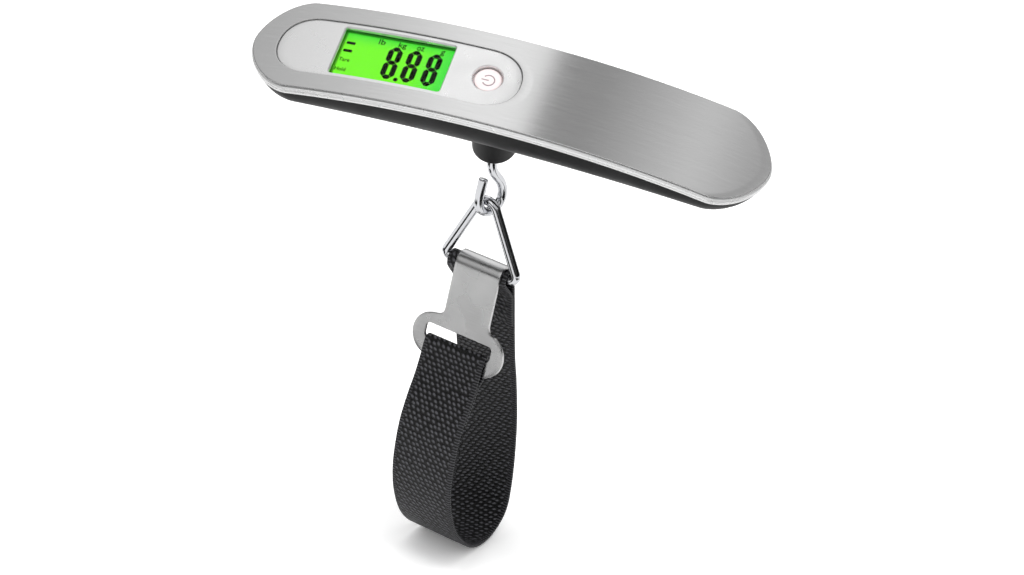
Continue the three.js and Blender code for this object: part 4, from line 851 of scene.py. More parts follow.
def smooth_path(points, step=0.35, passes=3):
    """Open line through points, its corners cut a few times, at even steps in mm."""
    line = np.asarray(points, float)
    for _ in range(passes):
        a, b = line[:-1], line[1:]
        cutline = np.stack([a * 0.75 + b * 0.25, a * 0.25 + b * 0.75], 1).reshape(-1, line.shape[1])
        line = np.concatenate([line[:1], cutline, line[-1:]])
    length = np.concatenate([[0], np.cumsum(np.linalg.norm(np.diff(line, axis=0), axis=1))])
    at = np.linspace(0, length[-1], max(2, int(length[-1] / step)) + 1)
    return np.stack([np.interp(at, length, line[:, k]) for k in range(line.shape[1])], 1)


def build_hook():
    """Hook: one wire along a straight neck, an S-bend, a round bowl and an upright free end, all in one plane, and
    an eye with eased edges round the pin."""
    along = np.array([-math.sin(math.radians(HOOK_TURN)), -math.cos(math.radians(HOOK_TURN)), 0.0])
    centre = -HOOK_DROP - HOOK_SEAT_ROOM + HOOK_BOWL_R
    spine = HOOK_BOWL_SHIFT - HOOK_BOWL_R
    neck = np.column_stack([np.zeros(16), np.linspace(-1.5, -HOOK_NECK, 16)])
    bend = (centre + HOOK_NECK) * 0.5
    t = np.linspace(0, 1, 41)[1:, None]
    knots = np.array([[0, -HOOK_NECK], [0, -HOOK_NECK + bend], [spine, centre - bend], [spine, centre]])
    curve = ((1 - t) ** 3 * knots[0] + 3 * (1 - t) ** 2 * t * knots[1]
             + 3 * (1 - t) * t ** 2 * knots[2] + t ** 3 * knots[3])
    a = np.linspace(np.pi, 2 * np.pi, 49)[1:]
    bowl = np.stack([HOOK_BOWL_SHIFT + HOOK_BOWL_R * np.cos(a), centre + HOOK_BOWL_R * np.sin(a)], 1)
    rise = np.linspace(0, 1, 17)[1:]
    leg = np.column_stack([spine + 2 * HOOK_BOWL_R - HOOK_TIP_LEAN * rise ** 1.5, centre + size_of("hook_tip") * rise])
    flat = np.concatenate([neck, curve, bowl, leg])
    line = PIN + flat[:, :1] * along + flat[:, 1:] * (0, 0, 1)
    wire = tube("hook_surface", line, WIRE_R)
    profile = [(HOOK_EYE_R - 0.5, -HOOK_EYE_T / 2), (HOOK_EYE_R - 0.12, -HOOK_EYE_T / 2 + 0.12),
               (HOOK_EYE_R, -HOOK_EYE_T / 2 + 0.5), (HOOK_EYE_R, HOOK_EYE_T / 2 - 0.5),
               (HOOK_EYE_R - 0.12, HOOK_EYE_T / 2 - 0.12), (HOOK_EYE_R - 0.5, HOOK_EYE_T / 2),
               (PIN_R + GAP + 0.2, HOOK_EYE_T / 2), (PIN_R + GAP, HOOK_EYE_T / 2 - 0.2),
               (PIN_R + GAP, -HOOK_EYE_T / 2 + 0.2), (PIN_R + GAP + 0.2, -HOOK_EYE_T / 2)]
    rings = [(ring @ turn(1, 90).T @ turn(1, GRIP_SLOPE).T + PIN) * MM for ring in turned(profile, 48)]
    merge_into(wire, [rings_mesh("eye", rings)])
    tidy(wire, 50)
    finish_piece(wire, "hook", chrome_plate("Hook chrome-plated steel wire"), "chrome_wire", "hook")


def ring_line():
    """Centre line of the triangle ring: straight sides joined by arcs at the apex and at both ends of the bar."""
    height = RING_HEIGHT + RING_APEX_ROUND
    for _ in range(8):
        half = math.atan2(RING_HALF_BAR, height)
        height = RING_HEIGHT + RING_APEX_ROUND * (1 / math.sin(half) - 1)
    half = math.atan2(RING_HALF_BAR, height)
    inset = RING_CORNER_ROUND / math.tan((math.pi / 2 - half) / 2)
    x = RING_HALF_BAR - inset
    top = RING_HEIGHT - RING_APEX_ROUND
    r, q = RING_CORNER_ROUND, RING_APEX_ROUND
    t1 = np.linspace(-np.pi / 2, half, 22)
    t2 = np.linspace(half, np.pi - half, 26)
    t3 = np.linspace(np.pi - half, np.pi * 1.5, 22)
    line = np.concatenate([np.stack([x + r * np.cos(t1), r + r * np.sin(t1)], 1),
                           np.stack([q * np.cos(t2), top + q * np.sin(t2)], 1),
                           np.stack([-x + r * np.cos(t3), r + r * np.sin(t3)], 1)])
    return split_long(line, 0.8)


def build_ring():
    """Triangle ring: a round wire along a closed line in one plane. Its butt weld lies in the bar, where the webbing
    hides it."""
    line = ring_line()
    points = in_chain(line[:, 0], 0.0, line[:, 1]) / MM
    obj = tube("ring_surface", points, WIRE_R, closed=True)
    finish_piece(obj, "ring", chrome_plate("Ring chrome-plated steel wire"), "chrome_wire", "triangle_ring")


def plate_plane():
    """Distance of the buckle's middle plane from the bar's axis: the webbing runs between them."""
    return WIRE_R + size_of("strap_thickness") + 2 * STRAP_GAP + size_of("buckle_thickness") / 2


def buckle_edge(plane):
    """Right-hand edge of the buckle as half-width and developed distance down: lip, stem, a fillet that touches
    the lobe's circle, and the lobe."""
    lobe_x = LOBE_HALF_L - LOBE_HALF_H
    r = SHOULDER_ROUND
    across = STEM_HALF + r - lobe_x
    rise = math.sqrt((LOBE_HALF_H + r) ** 2 - across ** 2)
    meet = math.atan2(-rise, across)
    t1 = np.linspace(np.pi, np.pi + meet, 12)
    t2 = np.linspace(meet, np.pi / 2, 44)[1:]
    down = np.linspace(-math.radians(LIP_SPAN) * plane, LOBE_DROP - rise, 49)[:-1]
    return np.concatenate([
        np.column_stack([np.full(48, STEM_HALF), down]),
        np.stack([STEM_HALF + r + r * np.cos(t1), LOBE_DROP - rise + r * np.abs(np.sin(t1))], 1),
        np.stack([lobe_x + LOBE_HALF_H * np.cos(t2), LOBE_DROP + LOBE_HALF_H * np.sin(t2)], 1)])


def build_buckle():
    """Buckle: a flat blank of rows between its two edges, with a round-cornered slot punched through and its edges
    rounded, then bent: rows above the bar run back over it on a circle round the bar's middle."""
    thick = size_of("buckle_thickness")
    plane = plate_plane()
    edge = buckle_edge(plane)
    up = np.clip((LOBE_DROP - LOBE_HALF_H - edge[:, 1:]) / 3 + 0.5, 0, 1)
    x = edge[:, :1] * np.linspace(-1, 1, 17) + STEM_SHIFT * up ** 2 * (3 - 2 * up)
    v = np.broadcast_to(edge[:, 1:], x.shape)
    front = np.stack([x, np.full(x.shape, thick / 2), v], -1)
    rear = np.stack([x[:, ::-1], np.full(x.shape, -thick / 2), v], -1)
    obj = rings_mesh("buckle_surface", np.concatenate([front, rear], 1) * MM, close_rows=False)
    tidy(obj, 30, merge=1e-7)
    line = rounded_rectangle(SLOT_HALF, SLOT_H / 2, 1.5, 6) + (0, SLOT_TOP + SLOT_H / 2)
    slot = [np.column_stack([line[:, 0], np.full(len(line), n), line[:, 1]]) * MM for n in (-3, 3)]
    combine(obj, "DIFFERENCE", capped("slot", slot))
    modifier = obj.modifiers.new("edge", "BEVEL")
    modifier.width = 0.32 * MM
    modifier.segments = 3
    modifier.limit_method = "ANGLE"
    modifier.angle_limit = math.radians(50)
    keep_modifiers(obj)
    x, n, v = read_points(obj.data).T / MM
    angle = np.clip(-v, 0, None) / plane
    w = (plane + n) * np.cos(angle)
    z = (plane + n) * np.sin(angle) - np.clip(v, 0, None)
    lean = math.radians(BUCKLE_LEAN)
    placed = in_chain(x, w * math.cos(lean) - z * math.sin(lean), w * math.sin(lean) + z * math.cos(lean))
    write_points(obj.data, placed)
    add_surface_map(obj.data, np.stack([x, v], 1) * MM)
    tidy(obj, 35, merge=1e-7)
    finish_piece(obj, "buckle", buckle_finish(), "buckle_steel", "buckle")


def tangent_angle(centre, radius, point, side):
    """Angle in radians at which a line from a point touches a circle, at the rear (1) or the front (-1)."""
    d = np.subtract(point, centre)
    angle = math.atan2(d[1], d[0]) - side * math.acos(radius / math.hypot(*d))
    return angle % (2 * math.pi) if side > 0 else angle


def curve_through(points, steps):
    """Smooth open line through points: on each stretch a cubic whose end slopes are half the chord past them."""
    p = np.asarray(points, float)
    slope = np.vstack([(p[1:2] - p[:1]), (p[2:] - p[:-2]) / 2, (p[-1:] - p[-2:-1])])
    t = np.linspace(0, 1, steps, endpoint=False)[None, :, None]
    a, b, m, n = p[:-1, None], p[1:, None], slope[:-1, None], slope[1:, None]
    line = ((2 * t ** 3 - 3 * t ** 2 + 1) * a + (t ** 3 - 2 * t ** 2 + t) * m
            + (3 * t ** 2 - 2 * t ** 3) * b + (t ** 3 - t ** 2) * n)
    return np.vstack([line.reshape(-1, p.shape[1]), p[-1:]])


def beside(run, start, stop, by, count=12):
    """Points of a line between two lengths along it in mm, moved sideways to its left."""
    length = np.concatenate([[0], np.cumsum(np.hypot(*np.diff(run, axis=0).T))])
    at = np.linspace(start, stop, count)
    points, ahead, behind = (np.stack([np.interp(at + k, length, run[:, c]) for c in (0, 1)], 1)
                             for k in (0, 0.5, -0.5))
    along = (ahead - behind) / np.hypot(*(ahead - behind).T)[:, None]
    return points + np.stack([-along[:, 1], along[:, 0]], 1) * by


def on_buckle(down, forward):
    """Forward w and up z of a place on the leaning buckle: mm down from the bar and forward of its middle plane."""
    lean = math.radians(BUCKLE_LEAN)
    w = plate_plane() + forward
    return np.array([w * math.cos(lean) + down * math.sin(lean), w * math.sin(lean) - down * math.cos(lean)])


def arc_points(centre, radius, start, end, count):
    t = np.linspace(start, end, count)
    return np.stack([centre[0] + radius * np.cos(t), centre[1] + radius * np.sin(t)], 1)


def strap_line():
    """Middle line of the webbing in forward w and up z: rear flap, round the ring's bar, down the rear, round the
    loop, up the front, over the buckle's lower bar and down the front flap."""
    thick = size_of("strap_thickness")
    wrap_r = WIRE_R + STRAP_GAP + thick / 2
    fold_down = SLOT_TOP + SLOT_H
    fold_r = size_of("buckle_thickness") / 2 + GAP + thick / 2
    fold_centre = on_buckle(fold_down + 0.4, 0)
    rear = tangent_angle((0, 0), wrap_r, LOOP_POINTS[0], 1)
    front = tangent_angle(fold_centre, fold_r, LOOP_POINTS[-1], -1)
    wrap = arc_points((0, 0), wrap_r, 0, rear, 24)
    fold = arc_points(fold_centre, fold_r, front, math.pi - math.radians(BUCKLE_LEAN), 16)
    run = curve_through(np.vstack([wrap[-1:], LOOP_POINTS, fold[:1]]), 14)
    total = np.sum(np.hypot(*np.diff(run, axis=0).T))
    doubled = thick + 0.02
    rear_flap = np.vstack([beside(run, REAR_FLAP, 6.8, doubled), [(wrap_r, -1.6), (wrap_r, -0.8)]])
    bar_end = LOBE_DROP + LOBE_HALF_H - fold_down
    last = total - bar_end - 3
    front_flap = np.vstack([on_buckle(fold_down + 0.6, -fold_r), on_buckle(fold_down + bar_end, -fold_r - 0.1),
                            beside(run, last, last - FRONT_FLAP, doubled)])
    return np.concatenate([rear_flap, wrap, run[1:-1], fold, front_flap])


def build_strap():
    """Webbing: a flat oval section with round selvedges carried along the middle line, a little narrower where it
    passes through the ring. Its surface map is the distance across and along, in metres."""
    line = smooth_path(strap_line(), step=0.45, passes=2)
    tangent = np.gradient(line, axis=0)
    tangent /= np.linalg.norm(tangent, axis=1, keepdims=True)
    normal = np.stack([-tangent[:, 1], tangent[:, 0]], 1)
    thick, width, narrow = (size_of(key) for key in ("strap_thickness", "strap_width", "strap_neck"))
    neck = np.clip((line[:, 1] - NECK_START) / NECK_RUN, 0, 1)
    inner = (width - (width - narrow) * neck ** 2 * (3 - 2 * neck)) / 2 - thick * 0.25
    t = np.linspace(0, np.pi, 9)[1:-1]
    flat, zero, one = np.linspace(-1, 1, 41), np.zeros(41), np.ones(41)
    share = np.concatenate([flat, np.ones(7), flat[::-1], -np.ones(7)])
    beyond = np.concatenate([zero, np.sin(t) * 0.5, zero, -np.sin(t) * 0.5]) * thick / 2
    lift = np.concatenate([one, np.cos(t), -one, np.cos(t)[::-1]]) * thick / 2
    across = inner[:, None] * share + beyond
    points = in_chain(across, line[:, :1] + normal[:, :1] * lift, line[:, 1:] + normal[:, 1:] * lift)
    length = np.concatenate([[0], np.cumsum(np.linalg.norm(np.diff(line, axis=0), axis=1))])
    uv = np.stack([across, np.broadcast_to(length[:, None], across.shape)], -1) * MM
    obj = rings_mesh("strap_surface", points, close_rows=False, uv=uv)
    tidy(obj, 50, merge=1e-7)
    finish_piece(obj, "strap", webbing_weave(), "black_webbing", "strap")
    return line, normal, length


def build_stitches(line, normal, length):
    """Sewing: rows of short bonded threads across both doubled ends, half sunk in the webbing. Each thread is a
    flat ellipse carried across the webbing, as thick as a half ellipse along it."""
    at = np.searchsorted(length, np.array(STITCH_ROWS) % length[-1])
    row, side, x = np.meshgrid(at, (-1.0, 1.0), np.arange(-STITCH_SPAN, STITCH_SPAN + 0.1, STITCH_PITCH), indexing="ij")
    row, side, x = row.ravel(), side.reshape(-1, 1, 1), x.reshape(-1, 1, 1)
    along = np.linspace(-0.5, 0.5, 7)[:, None]
    taper = np.sqrt(np.clip(1 - (2 * along) ** 2, 0.02, 1))
    section = circle(STITCH_R, 8)
    n = side * (size_of("strap_thickness") / 2 + 0.04) + 0.8 * taper * section[:, 1]
    d = taper * section[:, 0]
    (w0, z0), (nw, nz) = (part[row].T[:, :, None, None] for part in (line, normal))
    points = in_chain(x + along * STITCH_L, w0 + nw * n + nz * d, z0 + nz * n - nw * d)
    first = np.arange(len(row)) * 56
    faces = (grid_faces(7, 8, False, True) + first[:, None, None]).reshape(-1, 4)
    caps = [range(k, k + 8) for k in np.concatenate([first, first + 48])]
    obj = tidy(build_mesh("stitches", points, faces, caps=caps), 60, merge=1e-8)
    finish_piece(obj, "strap", sewing_thread(), "black_webbing")


def brushed_steel(name, colour, grain_mm, vector, roughness, strength, stretch=0.0):
    """Metal ground with a belt along the part: fine streaks, 40 times as long as wide, that change its tone, its
    roughness and its relief, and spread a highlight across them by the share stretch."""
    material, tree, shader = new_material(name, {"Metallic": 1.0, "Anisotropic": stretch,
                                                 "Anisotropic Rotation": 0.25})
    if stretch:
        along = add_node(tree, "ShaderNodeTangent", {"direction_type": "UV_MAP", "uv_map": "Surface"})
        join(tree, shader, Tangent=along.outputs["Tangent"])
    vector = vector(tree, (1 / 40.0, 1.0, 1.0))
    scale = 1 / (grain_mm * MM)
    fine = add_node(tree, "ShaderNodeTexNoise", {"Scale": scale, "Detail": 4.0, "Roughness": 0.65}, Vector=vector)
    coarse = add_node(tree, "ShaderNodeTexNoise", {"Scale": 0.18 * scale, "Detail": 2.0}, Vector=vector)
    mixed = add_node(tree, "ShaderNodeMath", {"operation": "MULTIPLY_ADD", 1: 0.35},
                     in_0=coarse.outputs["Fac"], in_2=fine.outputs["Fac"]).outputs["Value"]
    tint = add_node(tree, "ShaderNodeValToRGB", {"stops": ((0.45, darker(colour, 0.90)), (0.9, colour))}, Fac=mixed)
    rough = add_node(tree, "ShaderNodeMapRange", {"From Min": 0.4, "From Max": 0.95, "To Min": roughness[0],
                                                  "To Max": roughness[1]}, Value=mixed)
    relief = add_node(tree, "ShaderNodeBump", {"Strength": strength, "Distance": 0.02 * MM}, Height=mixed)
    join(tree, shader, Base_Color=tint.outputs["Color"], Roughness=rough.outputs["Result"],
         Normal=relief.outputs["Normal"])
    return material


def moulded_plastic(name, colour, roughness, grain_mm=0.35, strength=0.08, settings=None):
    """Injection-moulded ABS: a fine spark-eroded grain and slightly uneven gloss."""
    material, tree, shader = new_material(name, {"Base Color": colour, "IOR": 1.53, **(settings or {})})
    vector = object_coordinates(tree)
    vary_roughness(tree, shader, vector, 90.0, *roughness)
    grain = add_node(tree, "ShaderNodeTexNoise", {"Scale": 1 / (grain_mm * MM), "Detail": 2.0}, Vector=vector)
    relief = add_node(tree, "ShaderNodeBump", {"Strength": strength, "Distance": 0.03 * MM},
                      Height=grain.outputs["Fac"])
    join(tree, shader, Normal=relief.outputs["Normal"])
    return material


def plated_metal(name, colour, roughness, scale=600.0):
    """Zinc-plated or machined metal of the inner pieces: dull, with a fine crystalline mottle."""
    material, tree, shader = new_material(name, {"Metallic": 1.0})
    vector = object_coordinates(tree)
    mottle(tree, shader, vector, scale, 3.0, (0.35, darker(colour, 0.82)), (0.65, colour))
    vary_roughness(tree, shader, vector, scale * 0.4, *roughness)
    return material


def brushed_plate():
    """Brushed 304 stainless sheet: fine belt lines along the grip that draw each highlight out across them."""
    return brushed_steel("Brushed 304 stainless sheet", colour_of("plate"), 0.16, uv_coordinates, (0.16, 0.22), 0.09,
                         stretch=0.85)


def satin_frame():
    """Painted and vacuum-metallised ABS: a soft silver gloss, slightly uneven."""
    material, tree, shader = new_material("Metallised ABS frame", {"Metallic": 0.5, "Base Color": colour_of("frame")})
    vary_roughness(tree, shader, object_coordinates(tree), 120.0, 0.24, 0.32)
    return material


def panel_finish():
    """Silver-sprayed ABS panel: fine metal flake under a satin lacquer, so it looks pale and even."""
    material, tree, shader = new_material("Silver-sprayed ABS panel", {"Metallic": 0.75})
    vector = grip_coordinates(tree)
    mottle(tree, shader, vector, 3200.0, 2.0, (0.38, darker(colour_of("panel"), 0.97)), (0.62, colour_of("panel")))
    vary_roughness(tree, shader, vector, 150.0, 0.26, 0.38)
    return material


def clear_window():
    """Cast acrylic window with an anti-glare coat: colourless, polished, with a trace of wiping marks. Its index is
    set low, because the coat takes away nearly all of the mirror image."""
    material, tree, shader = new_material("Polished acrylic window", {
        "Base Color": (1.0, 1.0, 1.0, 1.0), "Transmission Weight": 1.0, "IOR": 1.16})
    vary_roughness(tree, shader, object_coordinates(tree), 200.0, 0.0, 0.04)
    return material


def display_glow():
    """Backlit liquid-crystal glass: lime in the middle, bluer green at its right and upper edges, with the shade
    that the window's wall throws on its upper and left edges."""
    material, tree, shader = new_material("Backlit liquid-crystal glass", {
        "Base Color": linear("1d5c0a"), "Roughness": 0.5, "Specular IOR Level": 0.2})
    vector = window_coordinates(tree, (1 / (WINDOW_L * MM), 1 / (WINDOW_W * MM), 1.0))
    split = add_node(tree, "ShaderNodeSeparateXYZ", Vector=vector)
    steps = [add_node(tree, "ShaderNodeMapRange", {"interpolation_type": "SMOOTHSTEP", "From Min": start,
                                                   "From Max": stop}, Value=split.outputs[axis]).outputs["Result"]
             for axis, start, stop in (("X", 0.1, 0.55), ("Y", 0.2, 0.6), ("X", -0.5, -0.475), ("Y", 0.5, 0.475))]
    both = add_node(tree, "ShaderNodeMath", {"operation": "MAXIMUM"}, in_0=steps[0], in_1=steps[1])
    glow = add_node(tree, "ShaderNodeValToRGB", {"stops": ((0.0, colour_of("display")),
                                                           (1.0, colour_of("display_edge")))}, Fac=both.outputs[0])
    shade = add_node(tree, "ShaderNodeMath", {"operation": "MULTIPLY"}, in_0=steps[2], in_1=steps[3])
    level = add_node(tree, "ShaderNodeMapRange", {"To Min": 0.14, "To Max": 0.9}, Value=shade.outputs["Value"])
    join(tree, shader, Emission_Color=glow.outputs["Color"], Emission_Strength=level.outputs["Result"])
    return material


def display_ink():
    """Dark liquid-crystal segments: nearly black, with a faint green where the backlight leaks through."""
    material, tree, shader = new_material("Dark liquid-crystal segments", {
        "Roughness": 1.0, "Specular IOR Level": 0.0})
    mottle(tree, shader, object_coordinates(tree), 700.0, 1.0, (0.3, colour_of("ink")), (0.8, linear("0b1407")))
    return material


def button_plastic():
    """Moulded polycarbonate cap: off-white with a little light inside it, finely sparked."""
    return moulded_plastic("Moulded polycarbonate cap", colour_of("button"), (0.28, 0.40), 0.3, 0.05,
                           {"Subsurface Weight": 0.15, "Subsurface Radius": (0.0008, 0.0006, 0.0005)})


def button_print():
    """Pad-printed mark: a matt mauve-grey ink film with uneven cover."""
    material, tree, shader = new_material("Pad-printed ink", {"Roughness": 0.6})
    mottle(tree, shader, object_coordinates(tree), 1500.0, 2.0, (0.3, colour_of("mark")), (0.7, linear("a9989c")))
    return material


def case_plastic():
    """Spark-eroded ABS: satin black that spreads a highlight into soft grey, with a fine even grain."""
    return moulded_plastic("Spark-eroded black ABS", colour_of("case"), (0.36, 0.48), 0.32, 0.10,
                           {"Specular IOR Level": 0.16})


def chrome_plate(name):
    """Bright nickel-chrome on drawn and bent wire: a mirror, a little softened by drawing lines and handling."""
    material, tree, shader = new_material(name, {"Metallic": 1.0, "Base Color": colour_of("chrome")})
    vector = object_coordinates(tree)
    vary_roughness(tree, shader, vector, 260.0, 0.06, 0.13)
    lines = add_node(tree, "ShaderNodeTexNoise", {"Scale": 900.0, "Detail": 3.0}, Vector=vector)
    relief = add_node(tree, "ShaderNodeBump", {"Strength": 0.03, "Distance": 0.01 * MM}, Height=lines.outputs["Fac"])
    join(tree, shader, Normal=relief.outputs["Normal"])
    return material


def buckle_finish():
    """Polished 430 stainless pressing: bright and slightly cloudy, with faint polishing lines across it."""
    material, tree, shader = new_material("Polished stainless pressing", {"Metallic": 1.0})
    mottle(tree, shader, uv_coordinates(tree, (1 / 30.0, 1.0, 1.0)), 5200.0, 3.0,
           (0.35, darker(colour_of("buckle"), 0.93)), (0.65, colour_of("buckle")))
    cloud = add_node(tree, "ShaderNodeTexNoise", {"Scale": 110.0, "Detail": 2.0}, Vector=object_coordinates(tree))
    rough = add_node(tree, "ShaderNodeMapRange", {"From Min": 0.3, "From Max": 0.7, "To Min": 0.24, "To Max": 0.31},
                     Value=cloud.outputs["Fac"])
    join(tree, shader, Roughness=rough.outputs["Result"])
    return material


def webbing_weave():
    """Woven polypropylene webbing: staggered rows of raised yarn floats, a finer ribbed selvedge 1.3 mm wide, and a
    dull gloss on the filaments. Its colour follows the relief: painted shade makes the gaps between the floats and the
    selvedge's grooves nearly black, and a painted sheen lightens the float tops. The eye sees a pebbled black band."""
    material, tree, shader = new_material("Woven polypropylene webbing", {
        "Roughness": 0.42, "Specular IOR Level": 0.35})
    place = add_node(tree, "ShaderNodeUVMap", {"uv_map": "Surface"})
    split = add_node(tree, "ShaderNodeSeparateXYZ", Vector=place.outputs["UV"])
    across, along = split.outputs["X"], split.outputs["Y"]
    row = add_node(tree, "ShaderNodeMath", {"operation": "MULTIPLY", 1: 1 / (FLOAT_PITCH * MM)}, in_0=along)
    column = add_node(tree, "ShaderNodeMath", {"operation": "MULTIPLY", 1: 1 / (FLOAT_WIDTH * MM)}, in_0=across)
    stagger = add_node(tree, "ShaderNodeMath", {"operation": "MULTIPLY_ADD", 1: 0.5}, in_0=row.outputs["Value"],
                       in_2=column.outputs["Value"])
    cell = add_node(tree, "ShaderNodeCombineXYZ", X=stagger.outputs["Value"], Y=row.outputs["Value"])
    floats = add_node(tree, "ShaderNodeTexVoronoi", {"voronoi_dimensions": "2D", "Scale": 1.0, "Randomness": 0.28},
                      Vector=cell.outputs["Vector"])
    dome = add_node(tree, "ShaderNodeMapRange", {"interpolation_type": "SMOOTHSTEP", "From Min": 0.60,
                                                 "From Max": 0.12}, Value=floats.outputs["Distance"])
    phase = add_node(tree, "ShaderNodeMath", {"operation": "MULTIPLY", 1: 2 * math.pi / (RIB_PITCH * MM)}, in_0=along)
    wave = add_node(tree, "ShaderNodeMath", {"operation": "SINE"}, in_0=phase.outputs["Value"])
    rib = add_node(tree, "ShaderNodeMath", {"operation": "MULTIPLY_ADD", 1: 0.3, 2: 0.55}, in_0=wave.outputs["Value"])
    distance = add_node(tree, "ShaderNodeMath", {"operation": "ABSOLUTE"}, in_0=across)
    selvedge = add_node(tree, "ShaderNodeMapRange", {"From Min": SELVEDGE[0] * MM, "From Max": SELVEDGE[1] * MM},
                        Value=distance.outputs["Value"])
    height = add_node(tree, "ShaderNodeMix", {"data_type": "FLOAT"}, Factor=selvedge.outputs["Result"],
                      in_2=dome.outputs["Result"], in_3=rib.outputs["Value"])
    fibre_place = add_node(tree, "ShaderNodeMapping", {"Scale": (9000.0, 1600.0, 1.0)}, Vector=place.outputs["UV"])
    fibre = add_node(tree, "ShaderNodeTexNoise", {"Scale": 1.0, "Detail": 2.0}, Vector=fibre_place.outputs["Vector"])
    full = add_node(tree, "ShaderNodeMath", {"operation": "MULTIPLY_ADD", 1: 0.18}, in_0=fibre.outputs["Fac"],
                    in_2=height.outputs[0]).outputs["Value"]
    # Painted shade and sheen: the colour follows the float height, nearly black in the gaps and the selvedge's grooves,
    # lightest on the float tops.
    yarn = colour_of("webbing")
    tint = add_node(tree, "ShaderNodeValToRGB", {"stops": (
        (0.35, darker(yarn, 0.02)), (0.7, darker(yarn, 0.17)), (1.0, yarn))}, Fac=full)
    relief = add_node(tree, "ShaderNodeBump", {"Strength": 1.0, "Distance": 0.5 * MM}, Height=full)
    join(tree, shader, Base_Color=tint.outputs["Color"], Normal=relief.outputs["Normal"])
    return material


def sewing_thread():
    """Bonded polyester thread: twisted black filaments with a slight gloss."""
    material, tree, shader = new_material("Bonded polyester thread", {"Roughness": 0.45})
    twist, _ = mottle(tree, shader, object_coordinates(tree), 2600.0, 1.0, (0.35, linear("121214")),
                      (0.65, linear("34343a")))
    relief = add_node(tree, "ShaderNodeBump", {"Strength": 0.3, "Distance": 0.05 * MM}, Height=twist)
    join(tree, shader, Normal=relief.outputs["Normal"])
    return material


def dark_silicone():
    """Pressed silicone rubber: dark grey, matt and slightly dusty."""
    return moulded_plastic("Pressed silicone rubber", linear("2c2c2e"), (0.7, 0.85), 0.5, 0.12)


def solder_mask():
    """Glass-epoxy board: green solder mask over a faint pattern of copper tracks, semi-gloss."""
    material, tree, shader = new_material("Glass-epoxy board with solder mask", {"IOR": 1.5})
    vector = window_coordinates(tree)
    tracks = add_node(tree, "ShaderNodeTexBrick", {
        "Scale": 220.0, "Mortar Size": 0.06, "offset": 0.5, "Color1": linear("1d5b34"), "Color2": linear("21673b"),
        "Mortar": linear("2f7d4a")}, Vector=vector)
    join(tree, shader, Base_Color=tracks.outputs["Color"])
    vary_roughness(tree, shader, vector, 300.0, 0.3, 0.45)
    return material


def frosted_acrylic():
    """Frosted acrylic light guide: milky, evenly scattering."""
    material, tree, shader = new_material("Frosted acrylic light guide", {
        "Base Color": linear("f2f6ee"), "Transmission Weight": 0.4, "IOR": 1.49})
    vary_roughness(tree, shader, object_coordinates(tree), 400.0, 0.45, 0.6)
    return material


def epoxy_resin():
    """Potting epoxy: black, dense and fairly glossy, with a fine filler mottle."""
    return moulded_plastic("Filled epoxy resin", linear("151516"), (0.32, 0.46), 0.25, 0.06)


def led_phosphor():
    """Phosphor-coated diode: pale cream, matt."""
    material, tree, shader = new_material("Phosphor-coated diode", {"Emission Strength": 0.6})
    _, tint = mottle(tree, shader, object_coordinates(tree), 2000.0, 2.0, (0.3, linear("f5f3dc")),
                     (0.7, linear("fffbe8")))
    join(tree, shader, Emission_Color=tint)
    return material


def machined_aluminium():
    """Milled 6061 aluminium: pale grey with fine cutter lines along the beam."""
    return brushed_steel("Milled 6061 aluminium", linear("b9bbbd"), 0.2, object_coordinates, (0.34, 0.46), 0.1)


def zinc_steel():
    """Bright zinc on steel: bluish grey, slightly cloudy."""
    return plated_metal("Bright zinc-plated steel", linear("b4b6b8"), (0.28, 0.42))


def cell_steel():
    """Nickel-plated cell can: smooth and pale, with soft rolling marks."""
    return plated_metal("Nickel-plated cell can", linear("c4c6c8"), (0.2, 0.3), 300.0)


def gauge_foil():
    """Constantan foil on polyimide: amber with a zigzag grid of fine lines."""
    material, tree, shader = new_material("Constantan foil on polyimide", {"Roughness": 0.35})
    grid = add_node(tree, "ShaderNodeTexWave", {"Scale": 300.0, "bands_direction": "Y"}, Vector=grip_coordinates(tree))
    tint = add_node(tree, "ShaderNodeValToRGB", {"stops": ((0.4, linear("c07a3a")), (0.6, linear("8f8f8a")))},
                    Fac=grid.outputs["Fac"])
    join(tree, shader, Base_Color=tint.outputs["Color"])
    return material


def dress_inner_nodes():
    """Gives the carried-over nodes their finishes: the display's layers, the electronics, screws and swivel."""
    groups = {
        clear_window: ["display_lens"],
        display_glow: ["lcd_glass"],
        frosted_acrylic: ["light_guide"],
        dark_silicone: ["zebra_strip_front", "zebra_strip_rear", "load_cell_lead"],
        led_phosphor: ["backlight_led_left", "backlight_led_right"],
        case_plastic: ["tact_switch", "battery_holder"],
        solder_mask: ["circuit_board"],
        epoxy_resin: ["controller_chip"],
        zinc_steel: ["battery_contact_top", "battery_contact_side", "swivel_yoke", "hook_pin", "stem_clip",
                     "load_cell_screw_1", "load_cell_screw_2", "case_screw_1", "case_screw_2", "case_screw_3",
                     "case_screw_4", "board_screw_1", "board_screw_2", "board_screw_3", "board_screw_4"],
        cell_steel: ["coin_cell"],
        machined_aluminium: ["load_cell_beam"],
        gauge_foil: ["strain_gauge"],
    }
    for make, nodes in groups.items():
        finish = make()
        for node in nodes:
            dress(node, finish)


def camera_axes():
    """Right, down and forward of the camera from its azimuth, elevation and roll."""
    al, el, ro = (math.radians(a) for a in (CAM_AZIMUTH, CAM_ELEVATION, CAM_ROLL))
    forward = np.array([-math.sin(al) * math.cos(el), math.cos(al) * math.cos(el), -math.sin(el)])
    right = np.array([math.cos(al), math.sin(al), 0.0])
    down = np.cross(forward, right)
    turned_right = math.cos(ro) * right - math.sin(ro) * down
    turned_down = math.sin(ro) * right + math.cos(ro) * down
    return turned_right, turned_down, forward


